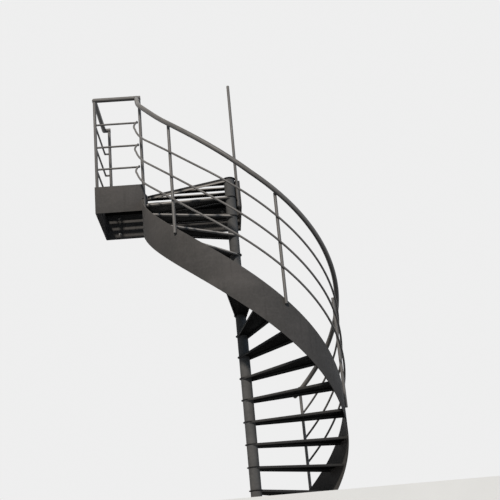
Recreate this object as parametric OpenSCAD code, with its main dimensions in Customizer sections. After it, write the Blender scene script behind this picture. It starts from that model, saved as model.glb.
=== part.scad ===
// Exterior steel spiral stair with a square wall landing.
// Origin: centre of the base plate's underside. The wall lies in the +Y direction.

/* [Stair] */
// Height of one riser
riser_h = 187; // [170:1:205]
// Number of risers from the ground to the landing
riser_count = 16; // [14:1:16]
// Turn from one tread to the next, in degrees
step_angle = 16.5; // [15.5:0.25:17]
// Direction of the landing's edge seen from above, in degrees from +X
top_angle = 162.7; // [160:0.1:165]

/* [Column] */
// Outer diameter of the inner pole
pole_d = 76; // [60:1:80]
// Wall of the inner pole
pole_wall = 4; // [3:0.5:8]
// Outer diameter of the hub sleeves
hub_d = 92; // [88:1:110]
// Play between pole and hub sleeves on the diameter
hub_play = 1; // [0.5:0.1:2]
// Diameter of the ring where a tread wraps round the column
ring_d = 116; // [112:1:140]
// Thickness of the column's cap
cap_h = 8; // [5:1:15]

/* [Base plate] */
// Diameter of the base plate
base_d = 300; // [260:5:400]
// Thickness of the base plate
base_h = 12; // [8:1:25]
// Diameter of the anchor circle
anchor_pcd = 230; // [180:5:250]
// Diameter of the anchor holes
anchor_hole_d = 14; // [10:1:22]
// Number of anchor holes
anchor_count = 4; // [3:1:8]

/* [Treads] */
// Thickness of the tread plate
tread_t = 5; // [3:0.5:8]
// Depth of the folded front lip
lip_h = 26; // [20:1:60]
// Depth of the folded back lip
back_lip_h = 20; // [12:1:60]
// How far a tread runs under the nosing above, in degrees
tread_overlap = 2; // [0:0.25:3]
// Clearance between a lip's outer face and the hub sleeve
lip_gap = 2; // [1:0.5:2.5]

/* [Stringer] */
// Outer radius of the curved stringer plate
stringer_r = 800; // [700:5:900]
// Thickness of the stringer plate
stringer_t = 6; // [4:0.5:10]
// Height of the stringer's top edge over the nosing line
stringer_up = 70; // [40:1:120]
// Depth of the stringer's bottom edge under the nosing line
stringer_down = 264; // [220:1:300]

/* [Railing] */
// Diameter of the balusters
baluster_d = 27; // [20:1:32]
// Wall of the balusters
baluster_wall = 2.5; // [1.5:0.5:4]
// How far a baluster laps down over the stringer
baluster_lap = 50; // [30:1:90]
// Angle from the landing's edge down to the first baluster
baluster_start = 68.8; // [60:0.1:75]
// Angle between balusters, in degrees
baluster_step = 63.25; // [55:0.25:65]
// Diameter of the handrail
handrail_d = 42; // [34:1:48]
// Height of the handrail's centre over the nosing line
handrail_h = 986; // [900:1:1050]
// How far inside the stringer's outer face the handrail runs straight to the landing
handrail_end_x = 8; // [-30:1:20]
// Diameter of the mid rails
rail_d = 18; // [12:1:20]
// Height of the upper mid rail over the nosing line
rail_upper_h = 760; // [700:5:800]
// Height of the middle mid rail over the nosing line
rail_middle_h = 537; // [480:1:580]
// Height of the lower mid rail over the nosing line
rail_lower_h = 320; // [280:5:360]
// How far outside the stringer's outer face the mid rails end at the landing
rail_end_x = 16; // [-5:1:30]

/* [Landing] */
// Reach of the landing to the left of the column
landing_left = 1220; // [1100:1:1400]
// How much the landing narrows on its left side towards the wall
landing_taper = 28; // [0:1:60]
// Reach of the landing to the right of the column
landing_right = 100; // [90:1:200]
// Reach of the landing to the front of the column
landing_front = 30; // [25:1:60]
// Distance from the column to the wall
wall_y = 612; // [560:1:900]
// Height of the landing's side plates
fascia_h = 262; // [200:1:300]
// Thickness of the landing's side plates
fascia_t = 6; // [4:0.5:10]
// Width of a floor plank
plank_w = 63; // [50:1:100]
// Width of the floor plank at the wall
wall_plank_w = 99; // [50:1:140]
// Gap in front of each floor plank
plank_gap = 54; // [10:1:60]
// Thickness of the floor planks
plank_t = 10; // [4:0.5:15]
// Diameter of the wall bolt holes
wall_hole_d = 14; // [10:1:22]
// Distance between the wall bolts along the wall
wall_hole_gap = 1000; // [600:10:1100]
// Distance between the wall bolts up the wall
wall_hole_rise = 160; // [60:5:170]
// Depth of the edge bar under the landing's nosing
edge_bar_h = 40; // [30:1:120]

/* [Landing guard] */
// Height of the guard's top rail over the floor
guard_h = 909; // [850:1:1100]
// Diameter of the guard's posts
post_d = 29; // [25:1:40]
// Length of the left corner post below the floor, in the corner of the side plates
corner_post_foot = 120; // [60:5:200]
// Distance from the landing's left edge to the centre of the wall post
wall_post_inset = 70; // [25:1:120]
// How far the right corner post reaches below the floor
post_foot = 280; // [230:5:320]
// Diameter of the guard's top rail
guard_rail_d = 42; // [30:1:48]
// Height of the guard's upper mid rail over the floor
guard_upper_h = 646; // [600:1:700]
// Height of the guard's middle mid rail over the floor
guard_middle_h = 410; // [380:1:450]
// Height of the guard's lower mid rail over the floor
guard_lower_h = 185; // [150:1:220]
// Height of the post beside the column over the floor
newel_h = 1000; // [900:5:1100]

/* [Hidden] */
$fn = 96;

// Height of the landing's floor
floor_z = riser_h * riser_count;
// Rise of the nosing line for one degree of turn
slope = riser_h / step_angle;
// The curved plates are made of flats of this many degrees
flat_a = step_angle / 6;
// Angles of the lowest nosing and of the stringer's foot
foot_nose_a = top_angle + (riser_count - 1) * step_angle;
foot_a = foot_nose_a + flat_a;
stringer_in = stringer_r - stringer_t;
hub_bore = pole_d + hub_play;
lip_offset = hub_d / 2 + lip_gap;
// Balusters stand on the stringer's outer face; all rails are welded to their outer side
baluster_r = stringer_r + baluster_d / 2;
rail_r = baluster_r + baluster_d / 2 + rail_d / 2;
handrail_r = baluster_r + baluster_d / 2 + handrail_d / 2;
// Distances from the column to the rails' ends at the landing
handrail_end = stringer_r - handrail_end_x;
rail_end = stringer_r + rail_end_x;
// Centre lines of the guard's posts and rails
guard_y = -landing_front + fascia_t + post_d / 2;
guard_x = left_x(guard_y) + fascia_t + post_d / 2;
wall_post_y = wall_y - post_d;
wall_post_x = left_x(wall_post_y) + wall_post_inset;
guard_end_x = left_x(wall_post_y) + fascia_t + post_d / 2;
corner_r = stringer_in * cos(flat_a / 2) - post_d / 2;
corner_x = -sqrt(corner_r * corner_r - guard_y * guard_y);
// Plans of the guard's side bars and of its top rail
side_plan = [[guard_x, guard_y], [guard_end_x, wall_post_y], [wall_post_x, wall_post_y]];
top_rail_plan = [[corner_x + post_d / 2, guard_y], [guard_x, guard_y], [guard_end_x, wall_post_y],
    [wall_post_x + post_d / 2, wall_post_y]];
// Angles where the rails end, and where they begin to climb more steeply
handrail_end_a = 180 + atan(-guard_y / handrail_end);
rail_end_a = 180 + atan((rail_d - guard_y) / rail_end);
handrail_climb_a = top_angle + 117;
rail_climb_a = top_angle + 49;
steel = [0.29, 0.285, 0.28];
steel_lit = [0.36, 0.35, 0.335];

// Left edge of the landing at a given y
function left_x(y) = -landing_left + landing_taper * (y + landing_front) / (wall_y + landing_front);
// Height of the nosing line at angle a
function line_z(a) = floor_z - slope * (a - top_angle);
// Angle of a tread's nosing, counted from the ground
function nose_a(n) = top_angle + (riser_count - n) * step_angle;
// Radius of the flat-sided plate at angle a from one of its creases
function flat_r(r, a) =
    let (b = a / flat_a, f = b - floor(b))
    r * cos(flat_a / 2) / cos((f - 0.5) * flat_a);
function on_flat(r, a) = [flat_r(r, a) * cos(a), flat_r(r, a) * sin(a)];
// A bar of n sides that follows points p with radial directions from the axis
module swept_bar(p, d, n) {
    m = len(p);
    dirs = [for (i = [0 : m - 1])
        let (v = p[min(m - 1, i + 1)] - p[max(0, i - 1)]) v / norm(v)];
    rad = [for (i = [0 : m - 1])
        let (v = [p[i][0], p[i][1], 0], w = v - (v * dirs[i]) * dirs[i]) w / norm(w)];
    pts = [for (i = [0 : m - 1]) for (j = [0 : n - 1])
        p[i] + d / 2 * (cos(360 * j / n) * rad[i] + sin(360 * j / n) * cross(dirs[i], rad[i]))];
    sides = [for (i = [0 : m - 2]) for (j = [0 : n - 1])
        [i * n + j, (i + 1) * n + j, (i + 1) * n + (j + 1) % n, i * n + (j + 1) % n]];
    polyhedron(pts, concat([[for (j = [0 : n - 1]) j]], sides,
        [[for (j = [n - 1 : -1 : 0]) (m - 1) * n + j]]), convexity = 8);
}

// A level bar of n sides through the points p of a plan, at height h over the floor, mitred at
// its corners
module mitred_bar(p, h, d, n) {
    m = len(p);
    legs = [for (i = [0 : m - 2]) (p[i + 1] - p[i]) / norm(p[i + 1] - p[i])];
    sideways = [for (i = [0 : m - 1])
        let (a = legs[max(0, i - 1)], b = legs[min(m - 2, i)], w = [-a[1] - b[1], a[0] + b[0]])
        w / (w * [-b[1], b[0]])];
    pts = [for (i = [0 : m - 1]) for (j = [0 : n - 1]) let (w = d / 2 * cos(360 * j / n) * sideways[i])
        [p[i][0] + w[0], p[i][1] + w[1], floor_z + h + d / 2 * sin(360 * j / n)]];
    faces = [for (i = [0 : m - 2]) for (j = [0 : n - 1])
        [i * n + j, (i + 1) * n + j, (i + 1) * n + (j + 1) % n, i * n + (j + 1) % n]];
    polyhedron(pts, concat([[for (j = [0 : n - 1]) j]], faces,
        [[for (j = [n - 1 : -1 : 0]) (m - 1) * n + j]]), convexity = 6);
}

// A round tube or bar between two points
module round_between(a, b, d, bore = 0) {
    v = b - a;
    translate(a) rotate([0, acos(v[2] / norm(v)), atan2(v[1], v[0])])
        difference() {
            cylinder(d = d, h = norm(v), $fn = 48);
            if (bore > 0) translate([0, 0, -1]) cylinder(d = bore, h = norm(v) + 2, $fn = 48);
        }
}

module base_plate() {
    color(steel) difference() {
        cylinder(d = base_d, h = base_h);
        for (i = [0 : anchor_count - 1])
            rotate([0, 0, 45 + 360 * i / anchor_count]) translate([anchor_pcd / 2, 0, -1])
                cylinder(d = anchor_hole_d, h = base_h + 2);
    }
}

module center_pole() {
    color(steel) translate([0, 0, base_h]) difference() {
        cylinder(d = pole_d, h = floor_z - base_h);
        translate([0, 0, -1]) cylinder(d = pole_d - 2 * pole_wall, h = floor_z);
    }
}

module column_cap() {
    color(steel) translate([0, 0, floor_z]) rotate_extrude()
        polygon([[0, 0], [hub_d / 2 + 2, 0], [hub_d / 2 + 2, cap_h * 0.5],
            [hub_d / 2 - 3, cap_h * 0.8], [hub_d / 4, cap_h], [0, cap_h]]);
}

// Outline of a tread with its nosing at angle 0 and its back edge at angle -w
module tread_outline(w) {
    q = acos(lip_offset / stringer_in);
    polygon(concat([lip_offset * [cos(q), sin(q)]],
        [for (i = [0 : ceil(w / flat_a - 0.001) - 1]) on_flat(stringer_in, -i * flat_a)],
        [on_flat(stringer_in, -w), lip_offset * [cos(w + q), -sin(w + q)]]));
}

// Strip of width t along a tread's nosing (side 1) or its back edge (side -1) at angle a
module edge_strip(a, side, t) {
    q = a + side * acos(lip_offset / stringer_in);
    inner_a = q - side * acos((lip_offset - t) / stringer_in);
    n = [cos(q), sin(q)];
    polygon([lip_offset * n, on_flat(stringer_in, a), on_flat(stringer_in, inner_a),
        (lip_offset - t) * n]);
}

module tread(n) {
    w = step_angle + tread_overlap;
    z0 = n == 1 ? base_h : (n - 1) * riser_h;
    z1 = n * riser_h;
    color(steel) rotate([0, 0, nose_a(n)]) difference() {
        union() {
            translate([0, 0, z0]) cylinder(d = hub_d, h = z1 - z0);
            translate([0, 0, z1 - tread_t]) cylinder(d = ring_d, h = tread_t);
            translate([0, 0, z1 - tread_t]) linear_extrude(tread_t) tread_outline(w);
            translate([0, 0, z1 - lip_h]) linear_extrude(lip_h - tread_t)
                edge_strip(0, 1, tread_t);
            translate([0, 0, z1 - back_lip_h]) linear_extrude(back_lip_h - tread_t)
                edge_strip(-w, -1, tread_t);
        }
        translate([0, 0, z0 - 1]) cylinder(d = hub_bore, h = z1 - z0 + 2);
    }
}

module tread_01() { tread(1); }
module tread_02() { tread(2); }
module tread_03() { tread(3); }
module tread_04() { tread(4); }
module tread_05() { tread(5); }
module tread_06() { tread(6); }
module tread_07() { tread(7); }
module tread_08() { tread(8); }
module tread_09() { tread(9); }
module tread_10() { tread(10); }
module tread_11() { tread(11); }
module tread_12() { tread(12); }
module tread_13() { tread(13); }
module tread_14() { if (riser_count > 14) tread(14); }
module tread_15() { if (riser_count > 15) tread(15); }

// Curved plate between two angles, its top never over the floor or its foot under the ground
module curved_plate(a0, a1) {
    m = round((a1 - a0) / flat_a);
    angles = [for (i = [0 : m]) a0 + (a1 - a0) * i / m];
    pts = [for (a = angles)
        let (zt = min(floor_z, line_z(a) + stringer_up), zb = max(0, line_z(a) - stringer_down))
        each [[stringer_in * cos(a), stringer_in * sin(a), zb],
            [stringer_r * cos(a), stringer_r * sin(a), zb],
            [stringer_r * cos(a), stringer_r * sin(a), zt],
            [stringer_in * cos(a), stringer_in * sin(a), zt]]];
    sides = [for (i = [0 : m - 1]) for (j = [0 : 3])
        each let (p = i * 4 + j, q = i * 4 + (j + 1) % 4) [[p, q, q + 4], [p, q + 4, p + 4]]];
    polyhedron(pts, concat([[3, 2, 1, 0]], sides,
        [[m * 4, m * 4 + 1, m * 4 + 2, m * 4 + 3]]), convexity = 10);
}

joint_a = top_angle + 7.5 * step_angle;
module stringer_upper() { color(steel) curved_plate(top_angle, joint_a); }
module stringer_lower() { color(steel) curved_plate(joint_a, foot_a); }

// Handrail height: parallel to the nosing line, then steeper up to the guard's top rail
function handrail_z(a) = line_z(a) + handrail_h
    + (floor_z + guard_h - line_z(handrail_end_a) - handrail_h)
    * max(0, (handrail_climb_a - a) / (handrail_climb_a - handrail_end_a));
// The handrail leaves its circle near the landing and runs straight to the guard
function handrail_at(a) =
    let (r = cos(a) < 0 ? min(handrail_r, -handrail_end / cos(a)) : handrail_r)
    [r * cos(a), r * sin(a), handrail_z(a)];

// Mid rail height: parallel, then a short steep climb up to the guard's mid rail
function rail_z(a, h, h_end) = line_z(a) + h
    + (floor_z + h_end - line_z(rail_end_a) - h)
    * pow(max(0, (rail_climb_a - a) / (rail_climb_a - rail_end_a)), 2);
// The mid rails curl inwards over their last degrees
function rail_at(a, h, h_end) =
    let (f = max(0, (rail_end_a + 5.5 - a) / 5.5),
        r = rail_r - (rail_r + rail_end / cos(rail_end_a)) * f * f)
    [r * cos(a), r * sin(a), rail_z(a, h, h_end)];

module baluster(i) {
    a = min(top_angle + baluster_start + i * baluster_step, foot_a - 1.2);
    z0 = max(0, line_z(a) + stringer_up - baluster_lap);
    z1 = handrail_z(a) + 4;
    rr = flat_r(stringer_r, a - top_angle) + baluster_d / 2;
    color(steel_lit) round_between([rr * cos(a), rr * sin(a), z0], [rr * cos(a), rr * sin(a), z1],
        baluster_d, baluster_d - 2 * baluster_wall);
}
module baluster_1() { baluster(0); }
module baluster_2() { baluster(1); }
module baluster_3() { baluster(2); }
module baluster_4() { baluster(3); }

module handrail() {
    m = 54;
    a0 = handrail_end_a;
    a1 = foot_a + 4;
    color(steel_lit) difference() {
        swept_bar([for (i = [0 : m]) handrail_at(a0 + (a1 - a0) * i / m)], handrail_d, 14);
        mitred_bar(top_rail_plan, guard_h, guard_rail_d, 24);
    }
}

module mid_rail(h, h_end) {
    m = 46;
    bend = [for (i = [0 : 13]) rail_end_a + (rail_climb_a - rail_end_a) * pow(i / 14, 1.5)];
    rest = [for (i = [0 : m]) rail_climb_a + (foot_a - rail_climb_a) * i / m];
    path = concat([[-rail_end, guard_y, floor_z + h_end]],
        [for (a = concat(bend, rest)) rail_at(a, h, h_end)]);
    color(steel_lit) difference() {
        swept_bar(path, rail_d, 10);
        guard_bar([guard_x, guard_y], [rail_d - rail_end, guard_y], h_end, rail_d);
    }
}
module mid_rail_upper() { mid_rail(rail_upper_h, guard_upper_h); }
module mid_rail_middle() { mid_rail(rail_middle_h, guard_middle_h); }
module mid_rail_lower() { mid_rail(rail_lower_h, guard_lower_h); }

// Edge bar under the landing's nosing, welded to the topmost hub sleeve
module landing_edge() {
    z0 = (riser_count - 1) * riser_h;
    color(steel) rotate([0, 0, top_angle]) difference() {
        union() {
            translate([0, 0, z0]) cylinder(d = hub_d, h = riser_h);
            translate([0, 0, floor_z - tread_t]) cylinder(d = ring_d, h = tread_t);
            translate([0, 0, floor_z - edge_bar_h]) linear_extrude(edge_bar_h)
                edge_strip(0, 1, fascia_t);
        }
        translate([0, 0, z0 - 1]) cylinder(d = hub_bore, h = riser_h + 2);
    }
}

front_y = -landing_front + fascia_t;
right_front_y = 40;
module landing_front_plate() {
    color(steel_lit) translate([-landing_left, -landing_front, floor_z - fascia_h])
        linear_extrude(fascia_h)
            polygon([[0, 0], [landing_left - well_x(-landing_front), 0],
                [landing_left - well_x(front_y), fascia_t], [left_x(front_y) + landing_left, fascia_t]]);
}

// Distance of the stringer's outer face from the column's YZ plane, at a given y
function well_x(y) = let (i = floor((180 + asin(-y / stringer_r) - top_angle) / flat_a),
    p = [cos(top_angle + i * flat_a), sin(top_angle + i * flat_a)] * stringer_r,
    q = [cos(top_angle + (i + 1) * flat_a), sin(top_angle + (i + 1) * flat_a)] * stringer_r)
    -(p[0] + (q[0] - p[0]) * (y - p[1]) / (q[1] - p[1]));

module landing_left_plate() {
    color(steel) translate([0, 0, floor_z - fascia_h]) linear_extrude(fascia_h)
        polygon([[left_x(front_y), front_y], [left_x(front_y) + fascia_t, front_y],
            [left_x(wall_y) + fascia_t, wall_y], [left_x(wall_y), wall_y]]);
}

module landing_right_plate() {
    color(steel) translate([0, 0, floor_z - fascia_h]) linear_extrude(fascia_h)
        difference() {
            polygon([[0, right_front_y], [landing_right, right_front_y],
                [landing_right, wall_y], [landing_right - fascia_t, wall_y],
                [landing_right - fascia_t, right_front_y + fascia_t],
                [0, right_front_y + fascia_t]]);
            circle(d = ring_d);
        }
}

module landing_wall_plate() {
    y = wall_y - fascia_t;
    color(steel) difference() {
        translate([0, 0, floor_z - fascia_h]) linear_extrude(fascia_h)
            polygon([[left_x(y) + fascia_t, y], [landing_right - fascia_t, y],
                [landing_right - fascia_t, wall_y], [left_x(wall_y) + fascia_t, wall_y]]);
        for (i = [-1, 1], j = [-1, 1])
            translate([(landing_right - landing_left) / 2 + i * wall_hole_gap / 2, wall_y + 1,
                floor_z - fascia_h / 2 + j * wall_hole_rise / 2])
                rotate([90, 0, 0]) cylinder(d = wall_hole_d, h = fascia_t + 2);
    }
}

// Open side of the landing, where the stair comes up, with the edge bar's thickness t
module stair_well(t) {
    rotate([0, 0, top_angle]) {
        q = acos(lip_offset / stringer_in);
        n = [cos(q), sin(q)];
        e = on_flat(stringer_in, 0) - t * n;
        s = (lip_offset - t) * n;
        intersection() {
            polygon([for (i = [-6 : 129]) on_flat(stringer_r, i * flat_a)]);
            polygon([s, e + (e - s) * 0.2, [1.5, 1.5] * stringer_r, [-1.5, 1.5] * stringer_r,
                [-1.5 * stringer_r, 0]]);
        }
    }
    translate([0, -stringer_r]) square([stringer_r, stringer_r + right_front_y + fascia_t]);
}

module plank_shape(y0, y1) {
    difference() {
        polygon([[left_x(y0) + fascia_t, y0], [landing_right - fascia_t, y0],
            [landing_right - fascia_t, y1], [left_x(y1) + fascia_t, y1]]);
        stair_well(fascia_t);
        circle(d = ring_d);
    }
}

// Flat floor planks, laid from the wall to the front
module landing_planks() {
    y = wall_y - fascia_t - wall_plank_w;
    step = plank_w + plank_gap;
    color(steel) translate([0, 0, floor_z - plank_t]) linear_extrude(plank_t) {
        plank_shape(y, wall_y - fascia_t);
        for (i = [1 : floor((y - front_y) / step)]) plank_shape(y - i * step, y - i * step + plank_w);
    }
}

post_top = guard_h - guard_rail_d / 2 + 2;
module guard_post(x, y, z0) {
    color(steel_lit) round_between([x, y, floor_z + z0], [x, y, floor_z + post_top], post_d);
}
module corner_post_left() { guard_post(guard_x, guard_y, -corner_post_foot); }
module corner_post_right() { guard_post(corner_x, guard_y, -post_foot); }
module wall_post() { guard_post(wall_post_x, wall_post_y, 0); }
module newel_post() {
    p = [landing_right - 30, right_front_y - baluster_d / 2, floor_z];
    color(steel_lit) round_between(p - [0, 0, fascia_h], p + [0, 0, newel_h], baluster_d);
}

// A level bar of the guard between two points, at height h over the floor
module guard_bar(p, q, h, d) {
    round_between([p[0], p[1], floor_z + h], [q[0], q[1], floor_z + h], d);
}
module guard_top_rail() {
    color(steel_lit) mitred_bar(top_rail_plan, guard_h, guard_rail_d, 24);
}
// Front and side mid rail, butted against the round posts; the side one turns in to the wall post
module guard_rail(h) {
    color(steel_lit) difference() {
        union() {
            guard_bar([rail_d / 2 - rail_end, guard_y], [guard_x, guard_y], h, rail_d);
            mitred_bar(side_plan, h, rail_d, 16);
        }
        for (p = [[guard_x, guard_y], [wall_post_x, wall_post_y]])
            translate([p[0], p[1], floor_z]) cylinder(d = post_d, h = guard_h, $fn = 48);
    }
}
module guard_rail_upper() { guard_rail(guard_upper_h); }
module guard_rail_middle() { guard_rail(guard_middle_h); }
module guard_rail_lower() { guard_rail(guard_lower_h); }

base_plate();
center_pole();
column_cap();
tread_01();
tread_02();
tread_03();
tread_04();
tread_05();
tread_06();
tread_07();
tread_08();
tread_09();
tread_10();
tread_11();
tread_12();
tread_13();
tread_14();
tread_15();
stringer_lower();
stringer_upper();
baluster_1();
baluster_2();
baluster_3();
baluster_4();
handrail();
mid_rail_upper();
mid_rail_middle();
mid_rail_lower();
landing_edge();
landing_front_plate();
landing_left_plate();
landing_right_plate();
landing_wall_plate();
landing_planks();
corner_post_left();
corner_post_right();
wall_post();
newel_post();
guard_top_rail();
guard_rail_upper();
guard_rail_middle();
guard_rail_lower();
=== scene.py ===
"""Exterior steel spiral stair with a square wall landing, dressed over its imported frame.

The treads turn round a column of hub sleeves and are welded to a curved plate stringer. The
landing is a frame of plates with open plank flooring, and round bars make the railing and the
guard. Lengths are in metres and angles in degrees.
"""

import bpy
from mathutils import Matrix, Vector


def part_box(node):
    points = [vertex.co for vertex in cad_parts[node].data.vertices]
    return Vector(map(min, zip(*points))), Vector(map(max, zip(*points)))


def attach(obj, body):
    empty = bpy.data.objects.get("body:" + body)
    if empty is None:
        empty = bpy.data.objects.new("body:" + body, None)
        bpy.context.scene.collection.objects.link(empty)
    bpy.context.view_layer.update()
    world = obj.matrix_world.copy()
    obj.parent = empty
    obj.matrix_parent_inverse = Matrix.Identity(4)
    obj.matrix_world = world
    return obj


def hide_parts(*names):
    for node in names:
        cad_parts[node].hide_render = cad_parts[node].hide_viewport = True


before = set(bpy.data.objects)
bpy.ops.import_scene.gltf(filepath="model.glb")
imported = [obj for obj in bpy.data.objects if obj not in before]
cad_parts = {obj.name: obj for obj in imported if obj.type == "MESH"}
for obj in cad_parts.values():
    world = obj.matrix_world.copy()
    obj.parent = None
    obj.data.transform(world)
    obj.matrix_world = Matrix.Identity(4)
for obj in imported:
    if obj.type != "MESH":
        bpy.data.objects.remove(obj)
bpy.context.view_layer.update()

import logging
import math
from dataclasses import dataclass, field, replace
from enum import Enum
from functools import partial, reduce
from typing import Callable, Iterable, Sequence, Union

import bmesh
import bpy
from mathutils import Matrix, Vector

LOG = logging.getLogger("spiral_stair")
BODY = "root"
UP = Vector((0, 0, 1)).freeze()
RAIL_NAMES = ("upper", "middle", "lower")

# A rail's straight end lies at smaller angles than this, and past it counts as out of reach
STRAIGHT_LIMIT = 230.0
OUT_OF_REACH = 100.0

# Factors that bring the peaks of the arch x (1 - x) and of its square to 1
ARCH_TO_ONE = 4.0
SQUARE_TO_ONE = 16.0

# Distance of a weld's centre line from the faces that it joins, on the flight and in corners
WELD_GAP = 0.0008
CORNER_GAP = 0.0006

Socket = bpy.types.NodeSocket
Value = Union[Socket, float, int, str, bool, Sequence[float], bpy.types.Material]
Path = list[Vector]
Spot = tuple[float, float]
Colour = tuple[float, ...]


class Slot(Enum):
    """Material slots, by name."""

    FACE = "steel_face"
    TREAD = "steel_tread"
    TUBE = "steel_tube"
    COLUMN = "steel_column"


@dataclass(frozen=True)
class StairSizes:
    """The driving sizes of the stair.

    Attributes:
        riser: rise of one step.
        risers: number of risers up to the landing's floor.
        step: turn of one step.
        top_angle: angle of the landing's nosing.
        flat: turn of one flat stretch of the solids' stringer.
        hub: diameter of the hub sleeves.
        base_plate: thickness of the base plate.
        anchor_circle: diameter of the circle of anchors.
        tread_plate: thickness of the treads.
        front_lip: height of a tread's front lip.
        overlap: turn by which a tread reaches under the next one.
        lip_offset: distance of a tread's front and back edges from the column's axis.
        stringer: outer radius of the stringer.
        stringer_plate: thickness of the stringer.
        stringer_up: height of its upper edge over the nosing line.
        stringer_down: depth of its lower edge under the nosing line.
        baluster: diameter of the balusters.
        baluster_wall: thickness of their walls.
        baluster_lap: length by which they lap over the stringer.
        baluster_start: turn from the landing's nosing to the first one.
        baluster_step: turn between two of them.
        handrail: diameter of the handrail.
        handrail_height: height of its centre line over the nosing line.
        handrail_end: distance of its upper end from the column, along the guard's front.
        rail: diameter of the mid rails.
        rail_heights: heights of their centre lines over the nosing line.
        rail_end: distance of their upper ends from the column, along the guard's front.
        landing_left: distance of the landing's left front corner from the column.
        landing_taper: how much nearer the left edge lies at the wall.
        landing_right: distance of the right edge from the column.
        landing_front: distance by which the front edge lies before the column's axis.
        right_front: distance by which the right plate starts behind that axis.
        wall: distance of the wall from the column's axis.
        side_plate: height of the landing's side plates.
        side_sheet: thickness of these plates.
        bolt_gap: distance of the wall bolts from side to side.
        bolt_rise: distance of the wall bolts from row to row.
        guard: height of the top rail over the floor.
        post: diameter of the guard's posts.
        post_foot: depth of the right corner post's foot under the floor.
        corner_post_foot: depth of the left corner post's foot under the floor.
        wall_post_inset: distance of the post at the wall from the landing's left edge.
        guard_rail: diameter of the top rail.
        guard_heights: heights of the guard's mid rails over the floor.
        newel: height of the post beside the column over the floor.
    """

    riser: float = 0.187
    risers: int = 16
    step: float = 16.5
    top_angle: float = 162.7
    flat: float = 2.75
    hub: float = 0.092
    base_plate: float = 0.012
    anchor_circle: float = 0.230
    tread_plate: float = 0.005
    front_lip: float = 0.026
    overlap: float = 2.0
    lip_offset: float = 0.048
    stringer: float = 0.800
    stringer_plate: float = 0.006
    stringer_up: float = 0.070
    stringer_down: float = 0.264
    baluster: float = 0.027
    baluster_wall: float = 0.0025
    baluster_lap: float = 0.050
    baluster_start: float = 68.8
    baluster_step: float = 63.25
    handrail: float = 0.042
    handrail_height: float = 0.986
    handrail_end: float = 0.803
    rail: float = 0.018
    rail_heights: tuple[float, ...] = (0.760, 0.537, 0.320)
    rail_end: float = 0.808
    landing_left: float = 1.220
    landing_taper: float = 0.028
    landing_right: float = 0.100
    landing_front: float = 0.030
    right_front: float = 0.040
    wall: float = 0.612
    side_plate: float = 0.262
    side_sheet: float = 0.006
    bolt_gap: float = 1.000
    bolt_rise: float = 0.160
    guard: float = 0.909
    post: float = 0.029
    post_foot: float = 0.280
    corner_post_foot: float = 0.120
    wall_post_inset: float = 0.070
    guard_rail: float = 0.042
    guard_heights: tuple[float, ...] = (0.646, 0.410, 0.185)
    newel: float = 1.000

    @property
    def floor(self) -> float:
        """Height of the landing's floor."""
        return self.riser * self.risers

    @property
    def slope(self) -> float:
        """Rise of the nosing line for one degree of turn."""
        return self.riser / self.step

    @property
    def foot_angle(self) -> float:
        """Angle of the stringer's foot."""
        return self.top_angle + (self.risers - 1) * self.step + self.flat

    @property
    def stringer_inner(self) -> float:
        """Radius of the stringer's inner face."""
        return self.stringer - self.stringer_plate

    @property
    def baluster_reach(self) -> float:
        """Radius at which the balusters stand."""
        return self.stringer + self.baluster / 2

    @property
    def guard_y(self) -> float:
        """Plane of the front guard's posts and bars."""
        return -self.landing_front + self.side_sheet + self.post / 2

    @property
    def wall_post(self) -> tuple[float, float]:
        """Plan position of the post at the wall."""
        y = self.wall - self.post
        return self.left_edge(y) + self.wall_post_inset, y

    @property
    def guard_corner(self) -> tuple[float, float]:
        """Plan position of the left corner post."""
        y = self.guard_y
        return self.left_edge(y) + self.side_sheet + self.post / 2, y

    @property
    def guard_turn(self) -> tuple[float, float]:
        """Plan position where the side bars turn in to the wall post."""
        y = self.wall_post[1]
        return self.left_edge(y) + self.side_sheet + self.post / 2, y

    @property
    def inner_corner(self) -> tuple[float, float]:
        """Plan position of the right corner post, inside the stringer."""
        reach = self.stringer_inner * math.cos(math.radians(self.flat / 2)) - self.post / 2
        return -math.sqrt(reach ** 2 - self.guard_y ** 2), self.guard_y

    @property
    def newel_place(self) -> tuple[float, float]:
        """Plan position of the post beside the column."""
        return self.landing_right - 0.030, self.right_front - self.baluster / 2

    def line(self, angle: float) -> float:
        """Height of the nosing line at an angle."""
        return self.floor - self.slope * (angle - self.top_angle)

    def nosing(self, tread: int) -> float:
        """Angle of a tread's nosing, with the treads counted from the ground."""
        return self.top_angle + (self.risers - tread) * self.step

    def left_edge(self, y: float) -> float:
        """Left edge of the landing at a distance y from the column towards the wall."""
        depth = self.wall + self.landing_front
        return -self.landing_left + self.landing_taper * (y + self.landing_front) / depth

    def baluster_angle(self, index: int) -> float:
        """Angle of a baluster, counted from the landing."""
        angle = self.top_angle + self.baluster_start + index * self.baluster_step
        return min(angle, self.foot_angle - 1.2)


SIZES = StairSizes()


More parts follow.
